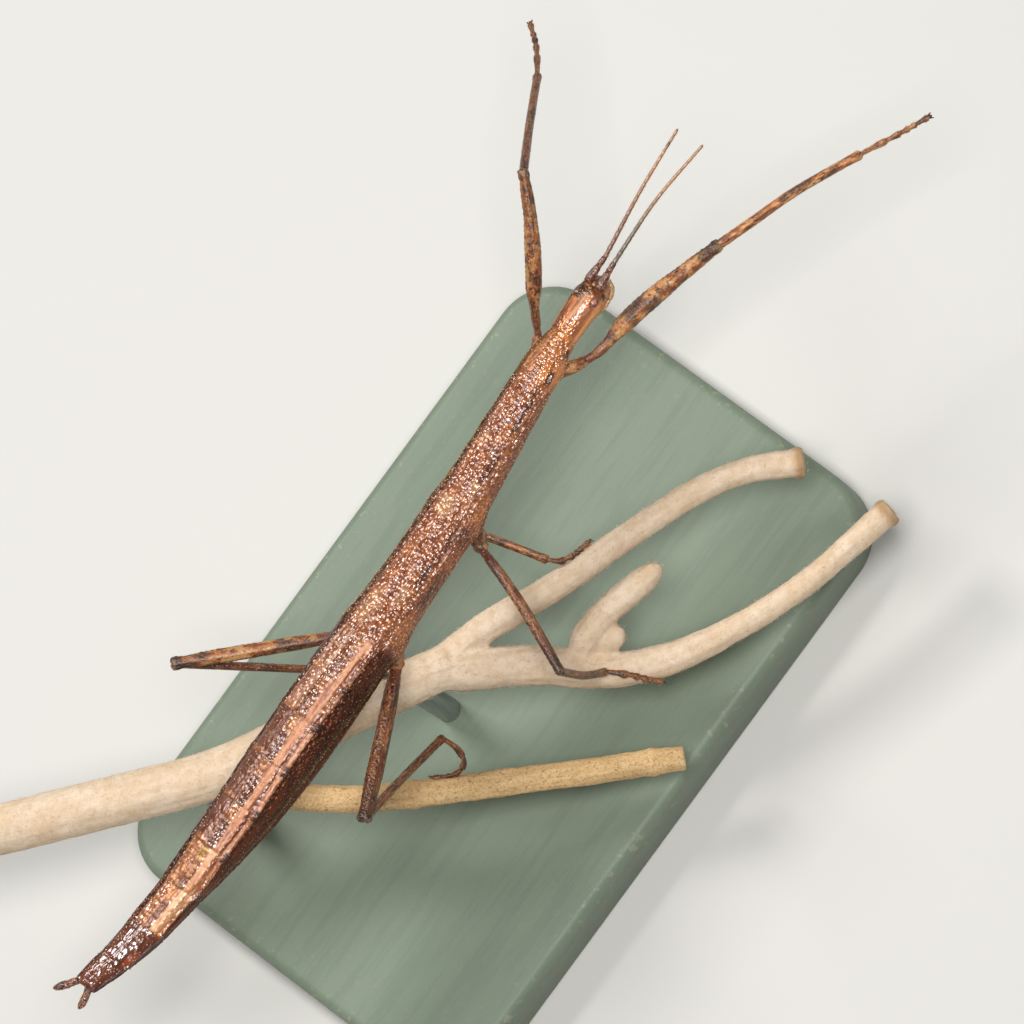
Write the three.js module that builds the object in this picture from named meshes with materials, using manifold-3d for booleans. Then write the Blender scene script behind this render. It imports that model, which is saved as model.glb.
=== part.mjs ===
// A life-size model of a slender, wingless female stick insect on a short cut length of
// forked twig, held over a flat base by two short rods. Millimetres, +Z up, head towards +X.
// The origin is the centre of the underside of the base.

import * as THREE from 'three';
import { mergeVertices } from 'three/addons/utils/BufferGeometryUtils.js';
import Module from 'manifold-3d';

const wasm = await Module();
wasm.setup();

// ---------------------------------------------------------------- driving dimensions

const JOINT_GAP = 0.03;          // between two pieces that meet face to face
const FEELER_THICKNESS = 0.5;    // least thickness of antennae, feet and cerci

// Where the insect's own zero point, on its axis between head and thorax, is held.
const HELD = { x: 20, y: 3, height: 27 };

// The trunk from the neck backwards. Each segment gives its length, the half width and half
// depth of its rear end, and how far its middle bulges, as a share of those.
const NECK = { x: 4.8, halfWidth: 1.0, halfDepth: 0.95 };
const TRUNK = [
  { name: 'prothorax', length: 3.85, halfWidth: 1.66, halfDepth: 1.4, bulge: 0.1 },
  { name: 'mesothorax', length: 12.9, halfWidth: 2.26, halfDepth: 1.9, bulge: -0.03 },
  { name: 'metathorax', length: 11.05, halfWidth: 2.56, halfDepth: 2.4, bulge: -0.03 },
  { name: 'abdomen_02', length: 4.1, halfWidth: 2.68, halfDepth: 2.75, bulge: 0.01 },
  { name: 'abdomen_03', length: 3.75, halfWidth: 2.68, halfDepth: 2.85, bulge: 0.01 },
  { name: 'abdomen_04', length: 4.2, halfWidth: 2.62, halfDepth: 2.8, bulge: 0.01 },
  { name: 'abdomen_05', length: 4.1, halfWidth: 2.44, halfDepth: 2.6, bulge: 0.01 },
  { name: 'abdomen_06', length: 4.0, halfWidth: 2.14, halfDepth: 2.2, bulge: 0.01 },
  { name: 'abdomen_07', length: 3.9, halfWidth: 1.7, halfDepth: 1.65, bulge: 0.01 },
  { name: 'abdomen_08', length: 4.0, halfWidth: 1.52, halfDepth: 1.3, bulge: 0.02 },
  { name: 'abdomen_09', length: 3.4, halfWidth: 1.22, halfDepth: 1.05, bulge: 0.03 },
  { name: 'abdomen_10', length: 3.1, halfWidth: 0.92, halfDepth: 0.6, bulge: 0.06 },
];

// The gentle bow of the body axis: sideways is to the insect's left, lift is upwards.
const AXIS_BOW = [
  { x: 12, sideways: 0.98, lift: 1.15 },
  { x: 3, sideways: 0.78, lift: 0.92 },
  { x: -12, sideways: -0.28, lift: 0.02 },
  { x: -24, sideways: -0.48, lift: -0.35 },
  { x: -35, sideways: -0.68, lift: -0.7 },
  { x: -47, sideways: -0.42, lift: -0.05 },
  { x: -53, sideways: 0.04, lift: 0.45 },
  { x: -58, sideways: 1.05, lift: 1.2 },
];

const HEAD = {
  front: 10.35,
  halfWidths: [[0, 1.08], [0.35, 1.24], [0.62, 1.36], [0.8, 1.12], [0.93, 0.8], [1, 0.5]],
  halfDepths: [[0, 1.05], [0.4, 1.22], [0.65, 1.2], [0.85, 0.9], [1, 0.45]],
};
const MOUTH = { back: 7.6, front: 10.8, halfWidth: 0.8, halfDepth: 0.72, drop: 1.3 };
const EYE = { x: 8.3, sideways: 1.02, lift: 0.92, length: 0.9, width: 0.74 };

// Each antenna's line, from its socket to its tip, as offsets from the insect's zero point.
const ANTENNAE = {
  right: [[9.25, 0.4, 2.1], [10.7, 0.45, 2.3], [11.7, 0.5, 2.4], [17.4, 0.66, 2.7], [23.0, 0.15, 2.9]],
  left: [[9.25, 1.5, 2.1], [10.65, 1.42, 2.3], [11.65, 1.36, 2.4], [17.5, 2.16, 2.7], [22.9, 2.6, 2.9]],
};
const SCAPE = { depth: 0.56, widths: [[0, 0.84], [0.55, 0.84], [0.7, 0.6], [1, 0.6]] };

// Every leg as the places of its joints. The thigh widths run from base to knee and are
// scaled by the leg's girth.
const FORE_WIDTHS = [[0, 0.66], [0.18, 0.84], [0.34, 1.48], [0.52, 1.5], [0.78, 1.16], [1, 0.94]];
const MID_WIDTHS = [[0, 0.78], [0.3, 0.92], [0.7, 0.92], [0.93, 0.84], [1, 0.92]];
const HIND_WIDTHS = [[0, 0.95], [0.3, 1.22], [0.7, 1.28], [0.93, 1.05], [1, 1.12]];
const LEGS = [
  {
    name: 'fore_right', coxaWidth: 0.95, widths: FORE_WIDTHS, girth: 1, tibiaWidth: 0.74,
    coxa: [[2.1, -0.1, 0.0], [3.3, -0.75, -0.4], [4.3, -1.25, -0.6]],
    femur: [[4.3, -1.25, -0.6], [5.6, -1.75, -0.6], [8.4, -2.0, -0.7], [11.6, -2.6, -0.95],
      [17.5, -4.1, -1.5]],
    tibia: [[17.5, -4.1, -1.5], [20.8, -5.15, -1.9], [24.2, -6.2, -2.35], [29.7, -8.4, -3.4]],
    tarsus: [[29.7, -8.4, -3.4], [33.1, -9.9, -4.1], [35.2, -10.7, -4.6]],
  },
  {
    name: 'fore_left', coxaWidth: 0.95, widths: FORE_WIDTHS, girth: 0.84, tibiaWidth: 0.66,
    coxa: [[1.8, 1.3, 0.2], [2.7, 2.2, 0.1], [3.6, 2.7, 0.2]],
    femur: [[3.6, 2.7, 0.2], [5.6, 4.1, 1.9], [7.7, 5.2, 3.5], [10.9, 7.4, 5.4], [13.1, 9.3, 6.7]],
    tibia: [[13.1, 9.3, 6.7], [16.7, 13.0, 2.4], [20.2, 16.5, -1.9]],
    tarsus: [[20.2, 16.5, -1.9], [22.1, 18.7, -3.5], [23.3, 20.6, -4.5]],
  },
  {
    name: 'mid_right', coxaWidth: 1.1, widths: MID_WIDTHS, girth: 1, tibiaWidth: 0.66,
    coxa: [[-10.9, -1.2, -1.0], [-11.6, -2.1, -1.9], [-12.2, -2.9, -2.4]],
    femur: [[-12.2, -2.9, -2.4], [-13.65, -7.8, -2.0], [-16.2, -14.3, -1.7]],
    tibia: [[-16.2, -14.3, -1.7], [-15.4, -14.0, -7.6], [-14.3, -13.6, -12.2]],
    tarsus: [[-14.3, -13.6, -12.2], [-13.4, -15.0, -12.9], [-12.8, -16.2, -13.8], [-12.3, -17.0, -14.7]],
  },
  {
    name: 'mid_left', coxaWidth: 1.1, widths: MID_WIDTHS, girth: 0.95, tibiaWidth: 0.7,
    coxa: [[-11.4, 0.8, -0.7], [-12.0, 1.8, -1.1], [-12.3, 2.2, -1.6]],
    femur: [[-12.3, 2.2, -1.6], [-12.5, 3.9, -6.2], [-13.0, 6.1, -11.9]],
    tibia: [[-13.0, 6.1, -11.9], [-11.3, 0.7, -11.0], [-9.9, -4.8, -10.5]],
    tarsus: [[-9.9, -4.8, -10.5], [-9.4, -5.7, -10.7], [-8.6, -6.1, -11.05], [-6.9, -6.45, -11.4]],
  },
  {
    name: 'hind_right', coxaWidth: 1.2, widths: HIND_WIDTHS, girth: 1, tibiaWidth: 0.68,
    coxa: [[-22.0, -1.5, -1.2], [-22.8, -2.3, -2.3], [-23.4, -2.7, -3.0]],
    femur: [[-23.4, -2.7, -3.0], [-27.6, -5.4, -1.5], [-34.2, -9.6, 1.4]],
    tibia: [[-34.2, -9.6, 1.4], [-30.2, -8.0, -4.6], [-26.0, -6.6, -10.5]],
    tarsus: [[-26.0, -6.6, -10.5], [-26.0, -7.8, -11.5], [-26.5, -8.6, -12.3], [-27.6, -8.5, -12.8],
      [-29.0, -7.2, -12.7]],
  },
  {
    name: 'hind_left', coxaWidth: 1.2, widths: HIND_WIDTHS, girth: 0.88, tibiaWidth: 0.66,
    coxa: [[-22.4, 0.6, -1.7], [-23.3, 1.6, -2.3], [-24.0, 2.1, -2.3]],
    femur: [[-24.0, 2.1, -2.3], [-28.6, 6.2, -0.5], [-33.5, 10.6, 1.4]],
    tibia: [[-33.5, 10.6, 1.4], [-30.1, 6.5, -2.3], [-25.8, 1.5, -7.8]],
    tarsus: [[-25.8, 1.5, -7.8], [-25.1, 0.4, -8.2], [-24.3, -0.9, -8.45]],
  },
];
const TARSUS_WIDTH = { start: 0.58, end: 0.5, claws: 0.85 };

const CERCI = {
  right: [[-57.35, 0.75, 0.75], [-58.3, 0.5, 0.5], [-59.3, 0.45, 0.3]],
  left: [[-57.35, 1.6, 0.95], [-58.3, 2.2, 0.95], [-59.2, 2.95, 0.9]],
};
const CERCUS_WIDTH = 0.66;
const PLATE_UNDER_TAIL = { front: -45.4, back: -54.6, halfWidth: 1.2, halfDepth: 1.0, drop: 1.0 };
const KEEL_WIDTHS = [[0, 0.8], [0.3, 1], [0.75, 0.8], [1, 0.42]];
const KEEL_DEPTHS = [[0, 0.7], [0.3, 1], [0.8, 0.55], [1, 0.3]];
const KEEL_DROP = [[0, 1], [0.35, 1.1], [0.7, 0.98], [1, 0.8]];

// The twig: each stem's line, with its radius along it.
const STEMS = {
  main: {
    line: [[-55.8, 19.4, -4.2], [-45.8, 11.4, -6.6], [-38.2, 5.6, -8.3], [-30.6, 1.8, -9.5],
      [-20.8, -3.4, -11.1]],
    radii: [[0, 1.98], [0.75, 1.96], [1, 1.75]],
  },
  upper: {
    line: [[-21.6, -1.5, -10.5], [-17.5, -3.7, -11.1], [-10.8, -6.4, -11.8], [-3.7, -8.8, -12.3],
      [1.4, -10.7, -12.9], [5.0, -12.8, -13.5], [8.3, -16.0, -14.5]],
    radii: [[0, 1.3], [0.2, 1.16], [0.5, 1.04], [0.85, 0.98], [1, 1.1]],
  },
  lower: {
    line: [[-22.8, -2.4, -10.8], [-19.9, -5.3, -11.7], [-16.9, -8.8, -12.7], [-14.5, -12.6, -13.9],
      [-11.8, -15.3, -14.7], [-8.4, -17.6, -15.3], [-0.3, -21.0, -16.2], [9.4, -23.3, -16.5]],
    radii: [[0, 1.72], [0.16, 1.6], [0.42, 1.33], [0.6, 1.05], [0.8, 0.98], [1, 1.04]],
  },
  side: {
    line: [[-38.4, 5.8, -8.5], [-36.9, 1.1, -10.0], [-34.6, -2.6, -11.3], [-31.6, -6.0, -12.5],
      [-26.2, -11.4, -14.3], [-16.0, -21.3, -17.8]],
    radii: [[0, 1.25], [0.2, 1.08], [0.9, 1.06], [1, 0.98]],
  },
};
const BUD = {
  line: [[-15.0, -10.6, -13.1], [-11.2, -10.6, -12.4], [-8.0, -11.4, -12.1], [-4.9, -12.3, -11.85]],
  halfWidths: [[0, 1.3], [0.35, 1.15], [0.75, 1.12], [1, 0.75]],
  thicknessShare: 0.6,
  sideLine: [[-13.4, -11.8, -13.3], [-12.1, -12.2, -13.1], [-10.6, -12.4, -12.8]],
  sideRadius: 0.84,
};

const BASE = { length: 58, width: 36, thickness: 5, corner: 5, bevel: 0.6 };
const ROD_RADIUS = 1.0;
const RODS = { front: { x: -24.2 }, rear: { x: -40.5 } };

// ---------------------------------------------------------------- finishes

const finish = (color, roughness, metalness = 0) => (
  new THREE.MeshStandardMaterial({ color, roughness, metalness })
);
const CUTICLE = finish(0x8a5230, 0.35);
const HEAD_CUTICLE = finish(0xb4733c, 0.35);
const LEG_CUTICLE = finish(0x8c5426, 0.4);
const EYE_SURFACE = finish(0xa9756a, 0.15);
const FELTED_BARK = finish(0xd9c6a6, 0.9);
const BROWN_BARK = finish(0xbfa27a, 0.85);
const PAINTED_BASE = finish(0x7d8a76, 0.6);
const ROD_METAL = finish(0xb9bbbd, 0.35, 1);

// ---------------------------------------------------------------- shaping tools

const vector = ([x, y, z]) => new THREE.Vector3(x, y, z);
const curveThrough = (points) => new THREE.CatmullRomCurve3(points.map(vector), false, 'centripetal');

// A value read off a short list of [share, value] pairs, eased between them.
function eased(pairs, share) {
  if (share <= pairs[0][0]) return pairs[0][1];
  for (let i = 1; i < pairs.length; i += 1) {
    const [from, low] = pairs[i - 1];
    const [to, high] = pairs[i];
    if (share <= to) return low + (high - low) * THREE.MathUtils.smoothstep(share, from, to);
  }
  return pairs[pairs.length - 1][1];
}

// Merges shared corners, drops empty triangles and turns every face outwards.
function tidySolid(geometry) {
  const bare = geometry.clone();
  bare.deleteAttribute('normal');
  bare.deleteAttribute('uv');
  const merged = mergeVertices(bare, 1e-5);
  const position = merged.getAttribute('position');
  const kept = [];
  let volume = 0;
  const [a, b, c] = [new THREE.Vector3(), new THREE.Vector3(), new THREE.Vector3()];
  for (let i = 0; i < merged.index.count; i += 3) {
    const [p, q, r] = [0, 1, 2].map((k) => merged.index.getX(i + k));
    if (p === q || q === r || r === p) continue;
    a.fromBufferAttribute(position, p);
    b.fromBufferAttribute(position, q);
    c.fromBufferAttribute(position, r);
    volume += a.dot(b.cross(c));
    kept.push([p, q, r]);
  }
  merged.setIndex((volume < 0 ? kept.map(([p, q, r]) => [p, r, q]) : kept).flat());
  return merged;
}

// A spindle of unit radius and unit length, turned about Y, with flat or domed ends.
const DOME_STEPS = 2;
function spindle(sides, rings, [first, last] = [0, 0]) {
  const dome = (depth) => {
    if (!depth) return [[1, 0]];
    return Array.from({ length: DOME_STEPS }, (_, step) => {
      const turn = ((step + 1) / DOME_STEPS) * (Math.PI / 2);
      return [Math.sin(turn), depth * (1 - Math.cos(turn))];
    });
  };
  const straight = 1 - first - last;
  const wall = Array.from({ length: rings - 1 }, (_, i) => [1, first + (straight * (i + 1)) / rings]);
  const end = dome(last).map(([out, depth]) => [out, 1 - depth]).reverse();
  const profile = [[0, 0], ...dome(first), ...wall, ...end, [0, 1]];
  return new THREE.LatheGeometry(profile.map(([out, along]) => new THREE.Vector2(out, along)), sides);
}

// Moves each corner of a spindle: its share along, its share out and its angle give its place.
function reshape(geometry, place) {
  const position = geometry.getAttribute('position');
  const point = new THREE.Vector3();
  for (let i = 0; i < position.count; i += 1) {
    point.fromBufferAttribute(position, i);
    const out = Math.hypot(point.x, point.z);
    const angle = out > 1e-9 ? Math.atan2(point.z, point.x) : 0;
    position.setXYZ(i, ...place(point.y, out, angle));
  }
  return tidySolid(geometry);
}

// A limb or stem along a line, as wide as width(share) and as deep as depth(share).
function sleeve(line, width, depth, { sides = 10, rings = 8, domes = [0, 0], upright = [0, 0, 1] } = {}) {
  const curve = curveThrough(line);
  const up = vector(upright);
  return reshape(spindle(sides, rings, domes), (share, out, angle) => {
    const centre = curve.getPointAt(share);
    const tangent = curve.getTangentAt(share);
    const side = new THREE.Vector3().crossVectors(tangent, up).normalize();
    const top = new THREE.Vector3().crossVectors(side, tangent);
    centre.addScaledVector(side, (out * Math.cos(angle) * width(share)) / 2);
    centre.addScaledVector(top, (out * Math.sin(angle) * depth(share)) / 2);
    return centre.toArray();
  });
}

// A line made longer at both ends.
function lengthened(line, extra) {
  const ends = [[0, 1], [line.length - 1, line.length - 2]].map(([end, next]) => {
    const away = vector(line[end]).sub(vector(line[next])).setLength(extra);
    return vector(line[end]).add(away).toArray();
  });
  return [ends[0], ...line.slice(1, -1), ends[1]];
}

// A limb or stem made larger all round by the joint gap, to cut its neighbours with.
function grown(line, width, form) {
  const wider = (share) => width(share) + 2 * JOINT_GAP;
  return sleeve(lengthened(line, JOINT_GAP), wider, wider, form);
}

function toSolid(geometry) {
  const vertProperties = new Float32Array(geometry.getAttribute('position').array);
  const triVerts = new Uint32Array(geometry.index.array);
  return new wasm.Manifold(new wasm.Mesh({ numProp: 3, vertProperties, triVerts }));
}

function toGeometry(solid) {
  const mesh = solid.getMesh();
  const geometry = new THREE.BufferGeometry();
  geometry.setAttribute('position', new THREE.BufferAttribute(new Float32Array(mesh.vertProperties), 3));
  geometry.setIndex(Array.from(mesh.triVerts));
  return geometry;
}

// A piece with others taken out of it. Where a cut leaves loose crumbs, the largest body is kept.
function without(geometry, ...cutters) {
  const cut = cutters.reduce((solid, cutter) => solid.subtract(toSolid(cutter)), toSolid(geometry));
  const bodies = cut.decompose();
  return toGeometry(bodies.reduce((best, body) => (body.volume() > best.volume() ? body : best)));
}

// ---------------------------------------------------------------- the trunk

const bowCurve = curveThrough(AXIS_BOW.map(({ x, sideways, lift }) => [x, sideways, lift]));

// The axis of the body at a distance along it, found by halving.
function axisAt(x) {
  let [low, high] = [0, 1];
  for (let i = 0; i < 40; i += 1) {
    const middle = (low + high) / 2;
    if (bowCurve.getPoint(middle).x > x) low = middle;
    else high = middle;
  }
  return bowCurve.getPoint((low + high) / 2);
}

// The back is a low arch with blunt shoulders, and the belly is rounder.
const SHOULDER = 0.86;
const BACK_HEIGHT = 0.94;
function trunkSection(centre, halfWidth, halfDepth, out, angle) {
  const blunt = (value) => Math.sign(value) * Math.abs(value) ** SHOULDER;
  const across = Math.cos(angle);
  const height = Math.sin(angle);
  const rise = height > 0 ? blunt(height) * BACK_HEIGHT : height;
  return [centre.x, centre.y - out * across * halfWidth, centre.z + out * rise * halfDepth];
}

function trunkGeometry(front, rear, ends, bulge, { grow = 0, sides = 16, rings = 5 } = {}) {
  const length = front - rear;
  return reshape(spindle(sides, rings), (share, out, angle) => {
    const x = front - share * length;
    const swelling = 1 + bulge * Math.sin(Math.PI * share);
    const halfWidth = THREE.MathUtils.lerp(ends[0].halfWidth, ends[1].halfWidth, share) * swelling + grow;
    const halfDepth = THREE.MathUtils.lerp(ends[0].halfDepth, ends[1].halfDepth, share) * swelling + grow;
    const centre = axisAt(x);
    return trunkSection(centre, halfWidth, halfDepth, out, angle);
  });
}

const pieces = [];
const addPiece = (name, geometry, material) => pieces.push({ name, geometry, material });
const grownTrunk = {};
const LONG_SEGMENT = 6;

function buildTrunk() {
  let front = NECK.x;
  let before = NECK;
  for (const segment of TRUNK) {
    const rear = front - segment.length;
    const ends = [before, segment];
    const { name, bulge } = segment;
    const rings = segment.length > LONG_SEGMENT ? 6 : 3;
    const inset = JOINT_GAP / 2;
    const wider = { grow: JOINT_GAP, rings };
    addPiece(name, trunkGeometry(front - inset, rear + inset, ends, bulge, { rings }), CUTICLE);
    grownTrunk[name] = trunkGeometry(front + inset, rear - inset, ends, bulge, wider);
    front = rear;
    before = segment;
  }
}

// ---------------------------------------------------------------- the head

function headGeometry(grow = 0) {
  const rear = NECK.x + JOINT_GAP / 2 - grow;
  const length = HEAD.front + grow - rear;
  return reshape(spindle(14, 9, [0, 0.06]), (share, out, angle) => {
    const centre = axisAt(rear + share * length);
    const halfWidth = eased(HEAD.halfWidths, share) + grow;
    const halfDepth = eased(HEAD.halfDepths, share) + grow;
    const across = out * Math.cos(angle) * halfWidth;
    return [centre.x, centre.y + across, centre.z + out * Math.sin(angle) * halfDepth];
  });
}

function buildHead() {
  addPiece('head', headGeometry(), HEAD_CUTICLE);
  const grownHead = headGeometry(JOINT_GAP);
  const middle = axisAt((MOUTH.back + MOUTH.front) / 2);
  const mouthLine = [
    [MOUTH.back, middle.y, middle.z - MOUTH.drop],
    [(MOUTH.back + MOUTH.front) / 2, middle.y, middle.z - MOUTH.drop * 0.9],
    [MOUTH.front, middle.y, middle.z - MOUTH.drop * 0.35],
  ];
  const mouthWidth = () => 2 * MOUTH.halfWidth;
  const mouthDepth = () => 2 * MOUTH.halfDepth;
  const mouth = sleeve(mouthLine, mouthWidth, mouthDepth, { sides: 10, rings: 3, domes: [0.3, 0.3] });
  addPiece('mouthparts', without(mouth, grownHead), HEAD_CUTICLE);

  for (const [side, sign] of [['left', 1], ['right', -1]]) {
    const centre = axisAt(EYE.x);
    const ball = new THREE.SphereGeometry(0.5, 12, 8);
    ball.scale(EYE.length, EYE.width, EYE.width);
    ball.translate(EYE.x, centre.y + sign * EYE.sideways, centre.z + EYE.lift);
    addPiece(`eye_${side}`, without(tidySolid(ball), grownHead), EYE_SURFACE);
    buildAntenna(side, grownHead);
  }
}

function buildAntenna(side, grownHead) {
  const line = ANTENNAE[side];
  const scapeWidth = (share) => eased(SCAPE.widths, share);
  const scapeDepth = () => SCAPE.depth;
  const scape = sleeve(line.slice(0, 3), scapeWidth, scapeDepth, { sides: 8, rings: 4, domes: [0.12, 0] });
  const even = () => FEELER_THICKNESS;
  const whipForm = { sides: 8, rings: 9, domes: [0, 0.03] };
  const whipLine = line.slice(2);
  const grownWhip = grown(whipLine, even, whipForm);
  addPiece(`antenna_${side}_scape`, without(scape, grownHead, grownWhip), LEG_CUTICLE);
  addPiece(`antenna_${side}_whip`, sleeve(whipLine, even, even, whipForm), LEG_CUTICLE);
}

// ---------------------------------------------------------------- the legs

const THORAX_AND_WAIST = ['prothorax', 'mesothorax', 'metathorax', 'abdomen_02'];
const FEMUR_FORM = { sides: 8, rings: 9, domes: [0, 0.02] };
const TIBIA_FORM = { sides: 8, rings: 5, domes: [0.03, 0.02] };
const TARSUS_FORM = { sides: 8, rings: 6, domes: [0, 0.04] };
const COXA_FORM = { sides: 8, rings: 2, domes: [0.2, 0.2] };
const FEMUR_DEPTH = 0.85;          // as a share of its width

function buildLeg(leg) {
  const upright = leg.name.startsWith('mid') ? [1, 0, 0] : [0, 0, 1];
  const coxaWidth = () => leg.coxaWidth;
  const coxa = sleeve(leg.coxa, coxaWidth, coxaWidth, { ...COXA_FORM, upright });
  const femurWidth = (share) => leg.girth * eased(leg.widths, share);
  const femurDepth = (share) => FEMUR_DEPTH * femurWidth(share);
  const femur = sleeve(leg.femur, femurWidth, femurDepth, { ...FEMUR_FORM, upright });
  const tibiaWidth = (share) => leg.tibiaWidth * eased([[0, 0.85], [0.1, 1]], share);
  const tibia = sleeve(leg.tibia, tibiaWidth, tibiaWidth, { ...TIBIA_FORM, upright });
  const { start, end, claws } = TARSUS_WIDTH;
  const tarsusWidth = (share) => eased([[0, start], [0.82, end], [0.92, claws], [1, end]], share);
  const tarsusDepth = (share) => eased([[0, start], [1, end]], share);
  const tarsus = sleeve(leg.tarsus, tarsusWidth, tarsusDepth, { ...TARSUS_FORM, upright });
  const grownFemur = grown(leg.femur, femurWidth, { ...FEMUR_FORM, upright });
  const grownTibia = grown(leg.tibia, tibiaWidth, { ...TIBIA_FORM, upright });
  const trunkAround = THORAX_AND_WAIST.map((name) => grownTrunk[name]);
  addPiece(`${leg.name}_coxa`, without(coxa, ...trunkAround, grownFemur), LEG_CUTICLE);
  addPiece(`${leg.name}_femur`, without(femur, ...trunkAround), LEG_CUTICLE);
  addPiece(`${leg.name}_tibia`, without(tibia, grownFemur), LEG_CUTICLE);
  addPiece(`${leg.name}_tarsus`, without(tarsus, grownTibia, ...Object.values(grownStems)), LEG_CUTICLE);
}

// ---------------------------------------------------------------- the tail

function buildTail() {
  for (const [side, line] of Object.entries(CERCI)) {
    const thickness = () => FEELER_THICKNESS;
    const leaf = (share) => eased([[0, thickness()], [0.45, CERCUS_WIDTH], [1, thickness()]], share);
    const cercus = sleeve(line, leaf, thickness, { sides: 8, rings: 4, domes: [0.1, 0.2] });
    addPiece(`cercus_${side}`, without(cercus, grownTrunk.abdomen_10), CUTICLE);
  }
  const { front, back, halfWidth, halfDepth, drop } = PLATE_UNDER_TAIL;
  const line = [0, 0.35, 0.7, 1].map((share) => {
    const x = THREE.MathUtils.lerp(front, back, share);
    const centre = axisAt(x);
    return [x, centre.y, centre.z - drop * eased(KEEL_DROP, share)];
  });
  const keel = (share) => 2 * halfWidth * eased(KEEL_WIDTHS, share);
  const bowl = (share) => 2 * halfDepth * eased(KEEL_DEPTHS, share);
  const plate = sleeve(line, keel, bowl, { sides: 12, rings: 5, domes: [0.1, 0.08] });
  const tail = TRUNK.slice(-5).map(({ name }) => grownTrunk[name]);
  addPiece('subgenital_plate', without(plate, ...tail), CUTICLE);
}

// ---------------------------------------------------------------- the twig

const STEM_FORM = {
  main: { sides: 12, rings: 9, domes: [0, 0.05] },
  upper: { sides: 10, rings: 9, domes: [0.02, 0] },
  lower: { sides: 10, rings: 10, domes: [0.02, 0] },
  side: { sides: 10, rings: 8, domes: [0, 0.02] },
};

const stemWidth = (name) => (share) => 2 * eased(STEMS[name].radii, share);
const stemGeometry = (name) => sleeve(STEMS[name].line, stemWidth(name), stemWidth(name), STEM_FORM[name]);
const grownStems = {};

function buildTwig() {
  for (const [name, { line }] of Object.entries(STEMS)) {
    grownStems[name] = grown(line, stemWidth(name), STEM_FORM[name]);
  }
  addPiece('main_stem', stemGeometry('main'), FELTED_BARK);
  addPiece('upper_stalk', without(stemGeometry('upper'), grownStems.main), FELTED_BARK);
  addPiece('lower_stalk', without(stemGeometry('lower'), grownStems.main, grownStems.upper), FELTED_BARK);
  addPiece('side_stem', without(stemGeometry('side'), grownStems.main), BROWN_BARK);
  const width = (share) => 2 * eased(BUD.halfWidths, share);
  const thickness = (share) => width(share) * BUD.thicknessShare;
  const blade = sleeve(BUD.line, width, thickness, { sides: 8, rings: 5, domes: [0.05, 0.1] });
  const knob = () => 2 * BUD.sideRadius;
  const button = sleeve(BUD.sideLine, knob, knob, { sides: 8, rings: 3, domes: [0.15, 0.3] });
  const both = toGeometry(toSolid(blade).add(toSolid(button)));
  addPiece('bud_shoot', without(both, grownStems.main, grownStems.upper, grownStems.lower), FELTED_BARK);
}

// ---------------------------------------------------------------- the display stand

// The place on the main stem's line above a given distance along the insect.
function onMainStem(x) {
  const curve = curveThrough(STEMS.main.line);
  let [low, high] = [0, 1];
  for (let i = 0; i < 40; i += 1) {
    const middle = (low + high) / 2;
    if (curve.getPoint(middle).x < x) low = middle;
    else high = middle;
  }
  return curve.getPoint((low + high) / 2);
}

function buildStand(add) {
  const { length, width, thickness, corner, bevel } = BASE;
  const outline = new THREE.Shape();
  const [x, y] = [length / 2 - bevel - corner, width / 2 - bevel - corner];
  outline.absarc(x, y, corner, 0, Math.PI / 2);
  outline.absarc(-x, y, corner, Math.PI / 2, Math.PI);
  outline.absarc(-x, -y, corner, Math.PI, 1.5 * Math.PI);
  outline.absarc(x, -y, corner, 1.5 * Math.PI, 2 * Math.PI);
  outline.closePath();
  const edge = { bevelThickness: bevel, bevelSize: bevel, bevelSegments: 1, curveSegments: 5 };
  const slab = new THREE.ExtrudeGeometry(outline, { depth: thickness - bevel, ...edge });
  const plate = tidySolid(slab);
  const cutOff = new THREE.BoxGeometry(2 * length, 2 * width, 4 * bevel);
  cutOff.translate(0, 0, -2 * bevel);
  add('stand_base', without(plate, tidySolid(cutOff)), PAINTED_BASE);
  for (const [name, rod] of Object.entries(RODS)) {
    const top = onMainStem(rod.x);
    const foot = thickness + JOINT_GAP;
    const height = HELD.height + top.z - foot;
    const shaft = new THREE.CylinderGeometry(ROD_RADIUS, ROD_RADIUS, height, 16);
    shaft.rotateX(Math.PI / 2);
    shaft.translate(top.x + HELD.x, top.y + HELD.y, foot + height / 2);
    const stem = grownStems.main.clone();
    stem.translate(HELD.x, HELD.y, HELD.height);
    add(`stand_rod_${name}`, without(tidySolid(shaft), stem), ROD_METAL);
  }
}

// ---------------------------------------------------------------- assembly

const model = new THREE.Group();
const held = new THREE.Group();
held.position.set(HELD.x, HELD.y, HELD.height);
model.add(held);

function meshOf(name, geometry, material) {
  const mesh = new THREE.Mesh(geometry, material);
  mesh.name = name;
  return mesh;
}

buildTrunk();
buildHead();
buildTail();
buildTwig();
LEGS.forEach(buildLeg);
for (const { name, geometry, material } of pieces) held.add(meshOf(name, geometry, material));
buildStand((name, geometry, material) => model.add(meshOf(name, geometry, material)));

export default model;
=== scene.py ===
"""A life-size stick insect on a cut length of felted twig: the looks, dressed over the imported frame."""

import bpy
import numpy as np
from mathutils import Matrix, Vector
from mathutils.kdtree import KDTree


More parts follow.
